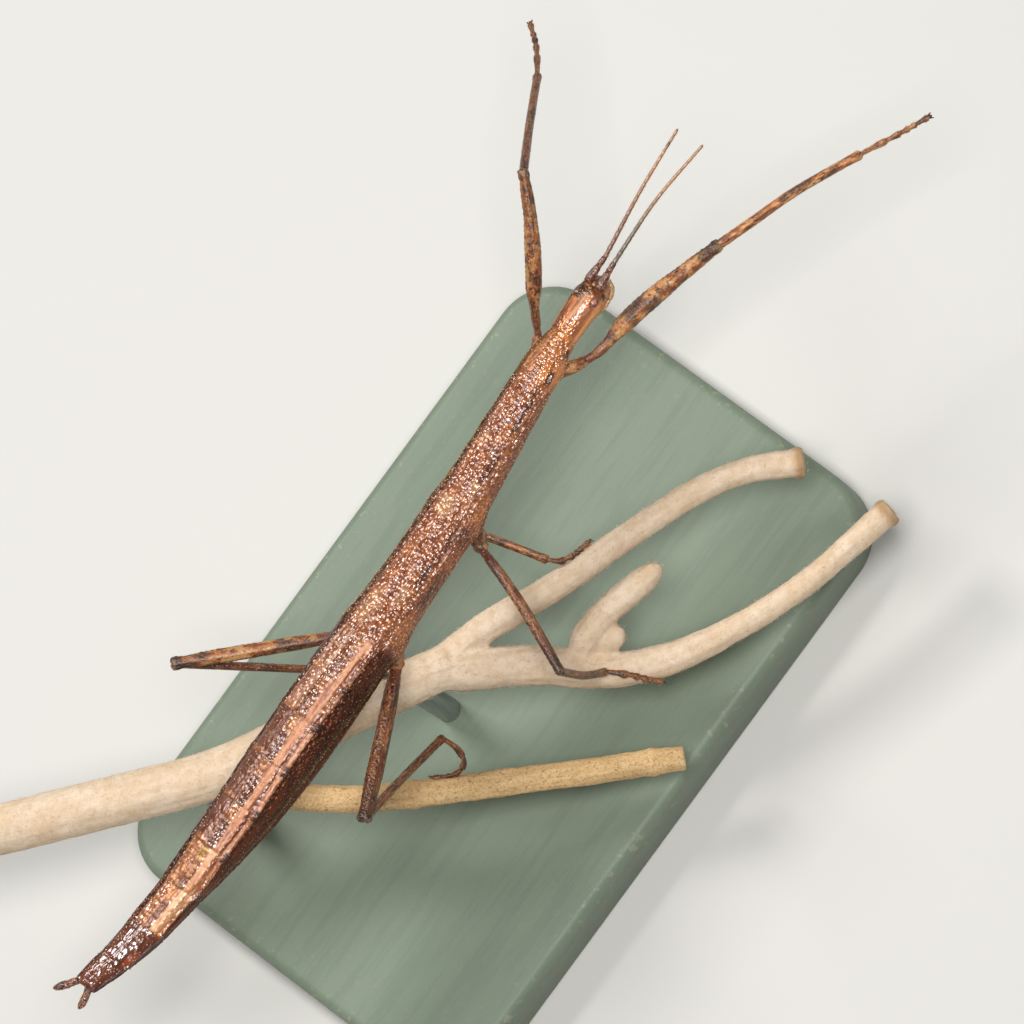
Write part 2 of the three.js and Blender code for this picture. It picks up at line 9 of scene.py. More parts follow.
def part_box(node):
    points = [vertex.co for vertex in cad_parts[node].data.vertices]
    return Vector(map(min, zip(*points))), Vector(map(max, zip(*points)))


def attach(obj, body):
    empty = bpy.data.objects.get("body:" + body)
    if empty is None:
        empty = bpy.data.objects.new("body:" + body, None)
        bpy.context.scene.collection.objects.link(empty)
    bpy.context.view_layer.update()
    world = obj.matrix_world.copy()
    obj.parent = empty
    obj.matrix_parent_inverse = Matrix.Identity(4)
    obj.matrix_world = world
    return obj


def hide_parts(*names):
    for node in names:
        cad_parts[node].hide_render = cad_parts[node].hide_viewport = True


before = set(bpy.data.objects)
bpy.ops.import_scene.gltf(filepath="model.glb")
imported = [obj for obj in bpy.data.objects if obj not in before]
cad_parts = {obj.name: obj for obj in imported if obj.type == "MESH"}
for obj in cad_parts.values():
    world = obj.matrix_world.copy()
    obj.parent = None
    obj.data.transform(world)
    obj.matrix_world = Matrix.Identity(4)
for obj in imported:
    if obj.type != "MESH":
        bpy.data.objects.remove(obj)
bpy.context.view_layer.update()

bl_info = {
    "name": "Stick insect on a twig",
    "version": (1, 0, 0),
    "blender": (4, 5, 0),
    "location": "3D Viewport > Sidebar > Stick insect",
    "description": "Builds the cuticle, legs, feelers, twig and stand of a life-size stick insect",
    "category": "Object",
}

# ---- driving sizes, in millimetres

MM = 0.001
HELD = np.array((20.0, 3.0, 27.0))  # the insect's own zero point in the part's frame

TRUNK = ["prothorax", "mesothorax", "metathorax"] + [f"abdomen_{i:02d}" for i in range(2, 11)]
EVEN = [(0, 1), (1, 1)]  # a thickness that doesn't change along a limb
SHOULDER = 0.86  # how blunt the arch of the back is
BACK_HEIGHT = 0.94  # the back's height as a share of the belly's depth
HEAD_FRONT = 10.35
HEAD_WIDTHS = [(0, 1.06), (0.3, 1.22), (0.62, 1.36), (0.8, 1.14), (0.93, 0.82), (1, 0.5)]
HEAD_DEPTHS = [(0, 1.04), (0.4, 1.2), (0.65, 1.2), (0.85, 0.92), (1, 0.5)]
EYE = {"x": 8.24, "sideways": 0.87, "lift": 0.75, "length": 0.96, "width": 0.74,
       "turn": 46, "radius": 1.27}

ANTENNAE = {
    "right": [(9.2, 0.4, 2.05), (10.7, 0.45, 2.3), (11.7, 0.5, 2.4), (17.4, 0.66, 2.7), (23.0, 0.15, 2.9)],
    "left": [(9.2, 1.5, 2.05), (10.65, 1.42, 2.3), (11.65, 1.36, 2.4), (17.5, 2.16, 2.7), (22.9, 2.6, 2.9)],
}

FORE_WIDTHS = [(0, 0.66), (0.18, 0.84), (0.34, 1.48), (0.52, 1.5), (0.78, 1.16), (1, 0.94)]
MID_WIDTHS = [(0, 0.78), (0.3, 0.92), (0.7, 0.92), (0.93, 0.84), (1, 0.92)]
HIND_WIDTHS = [(0, 0.95), (0.3, 1.22), (0.7, 1.28), (0.93, 1.05), (1, 1.12)]
# Each leg: its thickness, how dark its coxa, femur, tibia and foot are (on the left fore and hind legs partly
# painted shade), and the places that each of them runs through, where every part starts at the end of the one
# before it.
LEGS = {
    "fore_right": {
        "coxa_width": 0.95, "widths": FORE_WIDTHS, "girth": 1.0, "tibia_width": 0.74,
        "shades": (0.3, 0.16, 0.1, 0.25),
        "coxa": [(2.1, -0.1, 0.0), (3.3, -0.75, -0.4), (4.3, -1.25, -0.6)],
        "femur": [(5.6, -1.75, -0.6), (8.4, -2.0, -0.7), (11.6, -2.6, -0.95), (17.5, -4.1, -1.5)],
        "tibia": [(20.8, -5.15, -1.9), (24.2, -6.2, -2.35), (29.7, -8.4, -3.4)],
        "tarsus": [(33.1, -9.9, -4.1), (35.2, -10.7, -4.6)],
    },
    "fore_left": {
        "coxa_width": 0.95, "widths": FORE_WIDTHS, "girth": 0.84, "tibia_width": 0.66,
        # The shin and foot are painted dark: painted shade, where they reach down into the shadow.
        "shades": (0.5, 0.4, 0.85, 0.8),
        "coxa": [(1.8, 1.3, 0.2), (2.7, 2.2, 0.1), (3.6, 2.7, 0.2)],
        "femur": [(5.6, 4.1, 1.9), (7.7, 5.2, 3.5), (10.9, 7.4, 5.4), (13.1, 9.3, 6.7)],
        "tibia": [(16.7, 13.0, 2.4), (20.2, 16.5, -1.9)],
        "tarsus": [(22.1, 18.7, -3.5), (23.3, 20.6, -4.5)],
    },
    "mid_right": {
        "coxa_width": 1.25, "widths": MID_WIDTHS, "girth": 1.0, "tibia_width": 0.66,
        "shades": (0.45, 0.72, 0.8, 0.7),
        "coxa": [(-10.9, -1.2, -1.0), (-11.6, -2.1, -1.9), (-12.2, -2.9, -2.4)],
        "femur": [(-13.65, -7.8, -2.0), (-16.2, -14.3, -1.7)],
        "tibia": [(-15.4, -14.0, -7.6), (-14.3, -13.6, -12.2)],
        "tarsus": [(-13.4, -15.0, -12.9), (-12.8, -16.2, -13.8), (-12.3, -17.0, -14.7)],
    },
    "mid_left": {
        "coxa_width": 1.25, "widths": MID_WIDTHS, "girth": 0.95, "tibia_width": 0.7,
        "shades": (0.6, 0.6, 0.45, 0.6),
        "coxa": [(-11.4, 0.8, -0.7), (-12.0, 1.8, -1.1), (-12.3, 2.2, -1.6)],
        "femur": [(-12.5, 3.9, -6.2), (-13.0, 6.1, -11.9)],
        "tibia": [(-11.3, 0.7, -11.0), (-9.9, -4.8, -10.5)],
        "tarsus": [(-9.4, -5.7, -10.7), (-8.6, -6.1, -11.05), (-6.9, -6.45, -11.4)],
    },
    "hind_right": {
        "coxa_width": 1.35, "widths": HIND_WIDTHS, "girth": 1.0, "tibia_width": 0.68,
        "shades": (0.5, 0.8, 0.85, 0.75),
        "coxa": [(-22.0, -1.5, -1.2), (-22.8, -2.3, -2.3), (-23.4, -2.7, -3.0)],
        "femur": [(-27.6, -5.4, -1.5), (-34.2, -9.6, 1.4)],
        "tibia": [(-30.2, -8.0, -4.6), (-26.0, -6.6, -10.5)],
        "tarsus": [(-26.0, -7.8, -11.5), (-26.5, -8.6, -12.3), (-27.6, -8.5, -12.8), (-29.0, -7.2, -12.7)],
    },
    "hind_left": {
        "coxa_width": 1.35, "widths": HIND_WIDTHS, "girth": 0.88, "tibia_width": 0.66,
        # The shin and foot are dark: partly their own dark brown, partly painted shade.
        "shades": (0.5, 0.3, 0.9, 0.8),
        "coxa": [(-22.4, 0.6, -1.7), (-23.3, 1.6, -2.3), (-24.0, 2.1, -2.3)],
        "femur": [(-28.6, 6.2, -0.5), (-33.5, 10.6, 1.4)],
        "tibia": [(-30.1, 6.5, -2.3), (-25.8, 1.5, -7.8)],
        "tarsus": [(-25.1, 0.4, -8.2), (-24.3, -0.9, -8.45)],
    },
}

LEG_PARTS = ("coxa", "femur", "tibia", "tarsus")

CERCI = {
    "right": [(-57.1, 0.8, 0.75), (-58.3, 0.5, 0.5), (-59.3, 0.45, 0.3)],
    "left": [(-57.1, 1.4, 0.9), (-58.3, 2.2, 0.95), (-59.2, 2.95, 0.9)],
}

# The twig: each stem's line and its radius along it.
STEMS = {
    "main": (
        [(-55.8, 19.4, -4.2), (-45.8, 11.4, -6.6), (-38.2, 5.6, -8.3), (-30.6, 1.8, -9.5),
         (-20.8, -3.4, -11.1)],
        [(0, 1.98), (0.75, 1.96), (1, 1.75)]),
    "upper": (
        [(-25.6, -0.7, -10.7), (-21.8, -2.4, -11.0), (-17.5, -3.7, -11.1), (-10.8, -6.4, -11.8),
         (-3.7, -8.8, -12.3), (1.4, -10.7, -12.9), (5.0, -12.8, -13.5), (8.3, -16.0, -14.5)],
        [(0, 1.2), (0.25, 1.2), (0.4, 1.12), (0.6, 1.05), (0.85, 1.0), (1, 1.1)]),
    "lower": (
        [(-22.8, -2.4, -10.8), (-19.9, -5.3, -11.7), (-16.9, -8.8, -12.7), (-14.5, -12.6, -13.9),
         (-11.8, -15.3, -14.7), (-8.4, -17.6, -15.3), (-0.3, -21.0, -16.2), (9.4, -23.3, -16.5)],
        [(0, 1.72), (0.16, 1.6), (0.42, 1.33), (0.6, 1.05), (0.8, 0.98), (1, 1.04)]),
    "side": (
        [(-38.4, 5.8, -8.5), (-36.9, 1.1, -10.0), (-34.6, -2.6, -11.3), (-31.6, -6.0, -12.5),
         (-26.2, -11.4, -14.3), (-16.0, -21.3, -17.8)],
        [(0, 1.25), (0.2, 1.08), (0.9, 1.06), (1, 0.98)]),
    "bud": (
        [(-15.0, -10.6, -13.1), (-11.2, -10.6, -12.4), (-8.0, -11.4, -12.1), (-4.9, -12.3, -11.85)],
        [(0, 1.3), (0.35, 1.15), (0.75, 1.12), (1, 0.75)]),
    "button": (
        [(-13.4, -11.8, -13.3), (-12.1, -12.2, -13.1), (-10.6, -12.4, -12.8)],
        [(0, 0.84), (1, 0.84)]),
}

# ---- settings a user can change


def length(name, about, default):
    """A length that the panel shows, given here in millimetres."""
    return bpy.props.FloatProperty(
        name=name, description=about, default=default * MM, min=0.0, max=100.0 * MM, unit="LENGTH",
        precision=6)


def shade(name, about, default):
    """A colour that the panel shows, given as red, green and blue from 0 to 255."""
    return bpy.props.FloatVectorProperty(
        name=name, description=about, subtype="COLOR", size=3, min=0.0, max=1.0, default=linear(default))


def linear(rgb):
    """Screen values from 0 to 255 as the linear light that shaders work in."""
    shares = [value / 255 for value in rgb]
    return tuple(s / 12.92 if s <= 0.04045 else ((s + 0.055) / 1.055) ** 2.4 for s in shares)


class BodySettings(bpy.types.PropertyGroup):
    ring_gap: length("Ring gap", "Distance between the skin's rings", 0.107)
    sides: bpy.props.IntProperty(name="Sides", description="Corners round the skin", default=144, min=24)
    granule: length("Granule", "Radius of a large granule", 0.105)
    granules: bpy.props.IntProperty(
        name="Granules", description="How many places for a granule are tried", default=9800, min=0)
    wrinkle: length("Wrinkles", "Height of the fine lengthwise wrinkles", 0.035)
    keel: length("Keels", "Height of the keels along the abdomen", 0.11)
    copper: shade("Copper", "Ground colour of the thorax", (164, 88, 44))
    rust: shade("Rust", "Red-brown patches on the back", (104, 48, 24))
    orange: shade("Orange", "Bright patches and the head", (208, 126, 52))
    pale: shade("Pale", "Pinkish beige panels of the abdomen", (226, 164, 118))
    dark: shade("Dark", "Black-brown flanks and marks", (38, 24, 18))
    olive: shade("Olive", "Membrane between the back and belly plates", (86, 84, 34))


class LegSettings(bpy.types.PropertyGroup):
    ridge: length("Ridges", "Height of the ridges along each leg", 0.055)
    bristle: length("Bristles", "Length of the fine bristles", 0.16)
    ochre: shade("Ochre", "Ground colour of the light legs", (190, 114, 48))
    russet: shade("Russet", "Ground colour of the dark legs", (90, 42, 18))
    bands: shade("Bands", "Dark bands and specks", (46, 25, 14))


class FeelerSettings(bpy.types.PropertyGroup):
    rings: bpy.props.IntProperty(name="Rings", description="Segments in each feeler", default=19, min=3)
    base_width: length("Base width", "Thickness behind the first rings", 0.36)
    tip_width: length("Tip width", "Thickness at the tip", 0.22)
    brown: shade("Brown", "Colour at the base", (74, 40, 30))
    tan: shade("Tan", "Colour towards the tip", (176, 124, 74))
    eye: shade("Eye", "Pinkish brown of the eye", (140, 80, 66))


class TwigSettings(bpy.types.PropertyGroup):
    voxel: length("Grain", "Size of the faces of the joined stems", 0.15)
    fibre: length("Fibres", "Length of a felt fibre", 0.27)
    fibres: bpy.props.IntProperty(
        name="Fibre density", description="Fibres on each square millimetre", default=11, min=0)
    felt: shade("Felt", "Colour of the felted stems", (222, 196, 166))
    speck: shade("Specks", "Brown specks and scars", (168, 128, 86))
    bark: shade("Bark", "Colour of the side stem", (216, 180, 128))


class StandSettings(bpy.types.PropertyGroup):
    rounding: length("Rounding", "Radius of the base's upper edge", 0.9)
    paint: shade("Paint", "Colour of the painted base", (118, 131, 112))
    steel: shade("Steel", "Colour of the rods", (176, 178, 182))
    floor: shade("Floor", "Colour of the floor", (214, 212, 206))
    key_power: bpy.props.FloatProperty(
        name="Key light", description="Power of the main light", default=1.3, min=0.0, unit="POWER")
    fill_power: bpy.props.FloatProperty(
        name="Fill light", description="Power of the second light, from the left", default=1.25,
        min=0.0, unit="POWER")
    lens: bpy.props.FloatProperty(
        name="Lens", description="Focal length of the camera", default=300.0, min=20.0, unit="CAMERA")


# ---- number tools


def eased(pairs, share):
    """Values read off a short list of (share, value) pairs, eased between them."""
    at, values = np.array(pairs, float).T
    share = np.asarray(share, float)
    upper = np.clip(np.searchsorted(at, share), 1, len(at) - 1)
    part = np.clip((share - at[upper - 1]) / (at[upper] - at[upper - 1]), 0, 1)
    return values[upper - 1] + (values[upper] - values[upper - 1]) * part * part * (3 - 2 * part)


def step(low, high, value):
    """0 below low, 1 above high, and smooth between them."""
    part = np.clip((value - low) / (high - low), 0, 1)
    return part * part * (3 - 2 * part)


def hill(value, middle, width):
    """A rounded hill of height 1 and about that width on each side."""
    return np.exp(-(((value - middle) / width) ** 2))


def lumps(points, across, seed):
    """Smooth random heights from -1 to 1 at each point, with lumps about that far across."""
    cell = points / across
    base = np.floor(cell).astype(np.int64)
    part = cell - base
    part = part * part * (3 - 2 * part)
    total = np.zeros(points.shape[:-1])
    for corner in np.ndindex(2, 2, 2):
        key = (base + corner) * (73856093, 19349663, 83492791)
        mixed = (key[..., 0] ^ key[..., 1] ^ key[..., 2]) + seed * 7919
        value = ((mixed * 2654435761) >> 11 & 0xFFFF) / 32767.5 - 1
        total += value * np.prod(np.where(corner, part, 1 - part), axis=-1)
    return total


def grid(*columns):
    """Points from their coordinates, each of them spread over the whole grid."""
    return np.stack(np.broadcast_arrays(*columns), -1)


def unit(vectors):
    return vectors / np.maximum(np.linalg.norm(vectors, axis=-1, keepdims=True), 1e-12)


def curve_through(points, shares):
    """Points at these shares of the length of a smooth curve through the given ones."""
    p = np.asarray(points, float)
    p = np.vstack((2 * p[0] - p[1], p, 2 * p[-1] - p[-2]))
    t = np.linspace(0, 1, 60, endpoint=False)[:, None]
    fine = []
    for p0, p1, p2, p3 in zip(p, p[1:], p[2:], p[3:]):
        d0, d1, d2 = (np.linalg.norm(b - a) ** 0.5 for a, b in ((p0, p1), (p1, p2), (p2, p3)))
        lean1 = ((p1 - p0) / d0 - (p2 - p0) / (d0 + d1) + (p2 - p1) / d1) * d1
        lean2 = ((p2 - p1) / d1 - (p3 - p1) / (d1 + d2) + (p3 - p2) / d2) * d1
        cubic = 2 * p1 - 2 * p2 + lean1 + lean2
        square = -3 * p1 + 3 * p2 - 2 * lean1 - lean2
        fine.append(((cubic * t + square) * t + lean1) * t + p1)
    fine = np.vstack(fine + [p[-2:-1]])
    reach = np.concatenate(([0], np.cumsum(np.linalg.norm(np.diff(fine, axis=0), axis=1))))
    at = np.asarray(shares) * reach[-1]
    return np.stack([np.interp(at, reach, axis) for axis in fine.T], 1), reach[-1]


def domed(first, last, count, steps=7):
    """Shares along a limb and how wide it is there, with rounded ends of these lengths."""
    rise = np.linspace(0.12, 1, steps) * np.pi / 2
    front = first * (1 - np.cos(rise))
    back = 1 - last * (1 - np.cos(rise[::-1]))
    middle = np.linspace(first, 1 - last, count)[1:-1]
    widths = np.concatenate((np.sin(rise), np.ones(len(middle)), np.sin(rise[::-1])))
    return np.concatenate((front, middle, back)), widths


def lengthened(line, reach):
    """The line with both ends moved on by a reach, so that neighbouring parts overlap."""
    line = np.array(line, float)
    line[0] += reach * unit(line[0] - line[1])
    line[-1] += reach * unit(line[-1] - line[-2])
    return line


def ring_normals(rings):
    """Outward directions at the corners of a tube of rings."""
    around = np.roll(rings, -1, 1) - np.roll(rings, 1, 1)
    along = np.gradient(rings, axis=0)
    normals = unit(np.cross(around, along))
    outward = np.sum(normals * (rings - rings.mean(1, keepdims=True)))
    return normals if outward > 0 else -normals


def raised(rings, height):
    """The rings moved out along their normals by a height at each corner."""
    return rings + ring_normals(rings) * np.asarray(height)[..., None]


def limb_rings(line, shares, width, depth, upright=(0, 0, 1), sides=32):
    """Rings along a curved line, with their turn from the upper side, from -180 to 180 degrees."""
    centres, length = curve_through(line, shares)
    tangents = unit(np.gradient(centres, axis=0))
    side = unit(np.cross(tangents, np.array(upright, float)))
    top = np.cross(side, tangents)
    turn = np.linspace(-np.pi, np.pi, sides, endpoint=False)
    out = side[:, None] * (np.sin(turn)[:, None] * np.asarray(width)[:, None, None] / 2)
    out = out + top[:, None] * (np.cos(turn)[:, None] * np.asarray(depth)[:, None, None] / 2)
    return centres[:, None] + out, np.degrees(turn), length


def tapered(line, ends, count, table, wide=1.0, deep=1.0, upright=(0, 0, 1), sides=32, steps=7):
    """A round-ended limb, as thick as its table says: its rings, turns, shares, ends and length."""
    shares, ends = domed(*ends, count, steps)
    width = eased(table, shares) * ends
    rings, turn, length = limb_rings(line, shares, width * wide, width * deep, upright, sides)
    return rings, turn, shares, ends, length


def slender(thick, tall):
    """Sizes for hairs of one thickness."""
    return np.stack((np.full(len(tall), thick), np.full(len(tall), thick), tall), 1)


# ---- building meshes


class Piece:
    """One mesh in the making, with numbers kept at its corners and its own unwrap."""

    def __init__(self, name, *marks):
        self.name = name
        self.points, self.faces, self.maps = [], [], []
        self.marks = {mark: [] for mark in marks}
        self.count = 0

    def add(self, points, faces, maps, marks):
        """Points in mm from the insect's zero point, and arrays of faces with a map corner for each."""
        points = np.asarray(points, float).reshape(-1, 3)
        self.points.append(points)
        for face, corner in zip(faces, maps):
            self.faces.append(face + self.count)
            self.maps.append(corner)
        for mark, kept in self.marks.items():
            kept.append(np.broadcast_to(np.asarray(marks.get(mark, 0.0), float), (len(points),)))
        self.count += len(points)

    def add_tube(self, rings, band=(0.0, 1.0), **marks):
        """A closed tube through rings of points. Its unwrap fills a band of the map, from low to high."""
        count, sides = rings.shape[:2]
        index = np.arange(count * sides).reshape(count, sides)
        after = np.roll(index, -1, 1)
        quads = np.stack((index[:-1], after[:-1], after[1:], index[1:]), -1).reshape(-1, 4)
        u = np.linspace(0, 1, count)
        v = band[0] + (band[1] - band[0]) * np.linspace(0.01, 0.99, sides + 1)
        low = grid(u[:, None], v[None, :])
        corners = np.stack((low[:-1, :-1], low[:-1, 1:], low[1:, 1:], low[1:, :-1]), 2).reshape(-1, 4, 2)
        points = rings.reshape(-1, 3)
        spread = {k: np.broadcast_to(np.asarray(m, float), (count, sides)).ravel() for k, m in marks.items()}
        faces, maps = [quads], [corners]
        for end in (0, count - 1):
            pole = len(points)
            points = np.vstack((points, rings[end].mean(0)))
            spread = {k: np.append(m, m[index[end]].mean()) for k, m in spread.items()}
            fan = np.stack((index[end], np.full(sides, pole), after[end]), -1)
            middle = np.stack((np.full(sides, u[end]), (v[:-1] + v[1:]) / 2), -1)
            edge = np.stack((low[end, :-1], middle, low[end, 1:]), 1)
            faces.append(fan if end == 0 else fan[:, ::-1])
            maps.append(edge if end == 0 else edge[:, ::-1])
        if enclosed(points, faces) < 0:
            faces = [face[:, ::-1] for face in faces]
            maps = [corner[:, ::-1] for corner in maps]
        self.add(points, faces, maps, spread)

    def add_copies(self, shape, places, frames, sizes, roots, **marks):
        """Many copies of a small solid. `roots` gives each copy's place on the host's unwrap."""
        points, faces = shape
        number = len(places)
        if not number:
            return
        scaled = points[None] * np.asarray(sizes).reshape(number, 1, -1)
        put = np.einsum("nvk,nkd->nvd", scaled, frames) + places[:, None]
        reach = np.abs(points[:, :2]).max()
        local = roots[:, None] + TUFT_PATCH / 2 * points[None, :, :2] / reach
        shift = (np.arange(number) * len(points))[:, None, None]
        copied = [(face[None] + shift).reshape(-1, face.shape[1]) for face in faces]
        corners = [local[:, face].reshape(-1, face.shape[1], 2) for face in faces]
        spread = {k: np.repeat(np.broadcast_to(np.asarray(m, float), (number,)), len(points))
                  for k, m in marks.items()}
        self.add(put.reshape(-1, 3), copied, corners, spread)

    def finish(self, material, slot, *nodes):
        """Makes the object, which rides on the part, wears the material and stands for these nodes."""
        mesh = bpy.data.meshes.new(self.name)
        points = (np.vstack(self.points) + HELD) * MM
        mesh.from_pydata(points.tolist(), [], [face for block in self.faces for face in block.tolist()])
        layer = mesh.uv_layers.new(name="OFBake")
        flat = np.concatenate([corner.reshape(-1, 2) for corner in self.maps])
        layer.uv.foreach_set("vector", flat.astype(np.float32).ravel())
        keep_marks(mesh, {mark: np.concatenate(kept) for mark, kept in self.marks.items()})
        return dressed(placed(self.name, mesh), material, slot, *nodes)


def placed(name, data):
    """An object in the scene with this data."""
    made = bpy.data.objects.new(name, data)
    bpy.context.scene.collection.objects.link(made)
    return made


def keep_marks(mesh, marks):
    """Keeps numbers at the mesh's corners, and shades it smooth."""
    for mark, values in marks.items():
        kept = mesh.attributes.new(mark, "FLOAT", "POINT")
        kept.data.foreach_set("value", values.astype(np.float32))
    mesh.polygons.foreach_set("use_smooth", [True] * len(mesh.polygons))


def dressed(made, material, slot, *nodes):
    """Gives a made object its material, its place on the part and the nodes it stands for."""
    made.data.materials.clear()
    made.data.materials.append(material)
    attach(made, "root")
    if nodes:
        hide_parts(*nodes)
    return made


def enclosed(points, faces):
    """Six times the volume inside, which is below zero where the faces point inwards."""
    total = 0.0
    for face in faces:
        for k in range(1, face.shape[1] - 1):
            a, b, c = points[face[:, 0]], points[face[:, k]], points[face[:, k + 1]]
            total += np.sum(a * np.cross(b, c))
    return total


TUFT_PATCH = 0.003  # how far across a tuft's place is on the unwrap


def dome_solid(sides=6):
    """A closed low dome of unit radius, sunk a little below its foot."""
    turn = np.arange(sides) * 2 * np.pi / sides
    ring = np.stack((np.cos(turn), np.sin(turn)), 1)
    foot = np.hstack((ring, np.full((sides, 1), -0.5)))
    upper = np.hstack((ring * 0.72, np.full((sides, 1), 0.55)))
    points = np.vstack((foot, upper, [[0, 0, 0.85]]))
    low = np.arange(sides)
    after = np.roll(low, -1)
    walls = np.stack((low, after, after + sides, low + sides), 1)
    top = np.stack((low + sides, after + sides, np.full(sides, 2 * sides)), 1)
    return points, [walls, top, low[::-1][None]]


def hair_solid(lean=0.35):
    """A closed tapered hair one unit long that bends over as it rises."""
    turn = np.arange(3) * 2 * np.pi / 3
    ring = np.stack((np.cos(turn), np.sin(turn), np.zeros(3)), 1)
    points = np.vstack((ring * (1, 1, 0), ring * (0.75, 0.75, 0) + (lean * 0.4, 0, 0.55), [[lean, 0, 1]]))
    low = np.arange(3)
    after = np.roll(low, -1)
    walls = np.stack((low, after, after + 3, low + 3), 1)
    tip = np.stack((low + 3, after + 3, np.full(3, 6)), 1)
    return points, [walls, tip, low[::-1][None]]


def standing(normals, heading, tilt, random):
    """Frames for hairs: each stands on its normal and tips over towards a heading by tilt radians."""
    heading = unit(heading - normals * np.sum(heading * normals, 1, keepdims=True))
    tip = unit(normals * np.cos(tilt)[:, None] + heading * np.sin(tilt)[:, None])
    side = unit(np.cross(tip, heading + 1e-6 * random.normal(size=heading.shape)))
    return np.stack((np.cross(side, tip), side, tip), 1)


def sown(rings, density, number, gap, random, band=(0.0, 1.0)):
    """Random places on a tube of rings, denser where density is higher and no closer than the gap."""
    normals = ring_normals(rings)
    count, sides = rings.shape[:2]
    across = np.linalg.norm(np.roll(rings, -1, 1) - rings, axis=2)
    along = np.linalg.norm(np.gradient(rings, axis=0), axis=2)
    weight = (across * along * density).ravel()
    chosen = random.choice(count * sides, size=number, p=weight / weight.sum())
    ring, side = np.divmod(chosen, sides)
    ahead = np.minimum(ring + 1, count - 1)
    beside = (side + 1) % sides
    s, t = random.random((2, number, 1))
    near = rings[ring, side] * (1 - s) + rings[ahead, side] * s
    far = rings[ring, beside] * (1 - s) + rings[ahead, beside] * s
    places = near * (1 - t) + far * t
    kept = well_apart(places, gap)
    u = (ring + s[:, 0]) / (count - 1)
    v = band[0] + (band[1] - band[0]) * (0.01 + 0.98 * (side + t[:, 0]) / sides)
    heading = unit(rings[ahead, side] - rings[np.maximum(ring - 1, 0), side])
    return (places[kept], normals[ring, side][kept], heading[kept],
            np.stack((u, v), 1)[kept], (ring[kept], side[kept]))


def well_apart(places, gap):
    """The numbers of the places that keep the gap to every place kept before them."""
    if not gap:
        return np.arange(len(places))
    tree = KDTree(len(places))
    for number, place in enumerate(places):
        tree.insert(place, number)
    tree.balance()
    taken = np.zeros(len(places), bool)
    kept = []
    for number, place in enumerate(places):
        if taken[number]:
            continue
        kept.append(number)
        for _, other, _ in tree.find_range(place, gap):
            taken[other] = True
    return np.array(kept)


# ---- shader tools


class Wire:
    """A socket that carries a number or a colour; sums on numbers become Math nodes."""

    def __init__(self, finish, socket):
        self.finish = finish
        self.socket = socket

    def maths(self, operation, *values):
        return self.finish.node("ShaderNodeMath", {"operation": operation}, dict(enumerate(values)))

    def __add__(self, other):
        return self.maths("ADD", self, other)

    def __radd__(self, other):
        return self.maths("ADD", other, self)

    def __sub__(self, other):
        return self.maths("SUBTRACT", self, other)

    def __rsub__(self, other):
        return self.maths("SUBTRACT", other, self)

    def __mul__(self, other):
        return self.maths("MULTIPLY", self, other)

    def __rmul__(self, other):
        return self.maths("MULTIPLY", other, self)

    def __abs__(self):
        return self.maths("ABSOLUTE", self)

    def most(self, other):
        return self.maths("MAXIMUM", self, other)

    def above(self, level, soft):
        """0 well below a level, 1 well above it, and half-way at the level."""
        ends = {"Value": self, "From Min": level - soft, "From Max": level + soft}
        return self.finish.node("ShaderNodeMapRange", {"interpolation_type": "SMOOTHSTEP"}, ends)

    def below(self, level, soft):
        return 1 - self.above(level, soft)

    def within(self, low, high, soft):
        return self.above(low, soft) * self.below(high, soft)


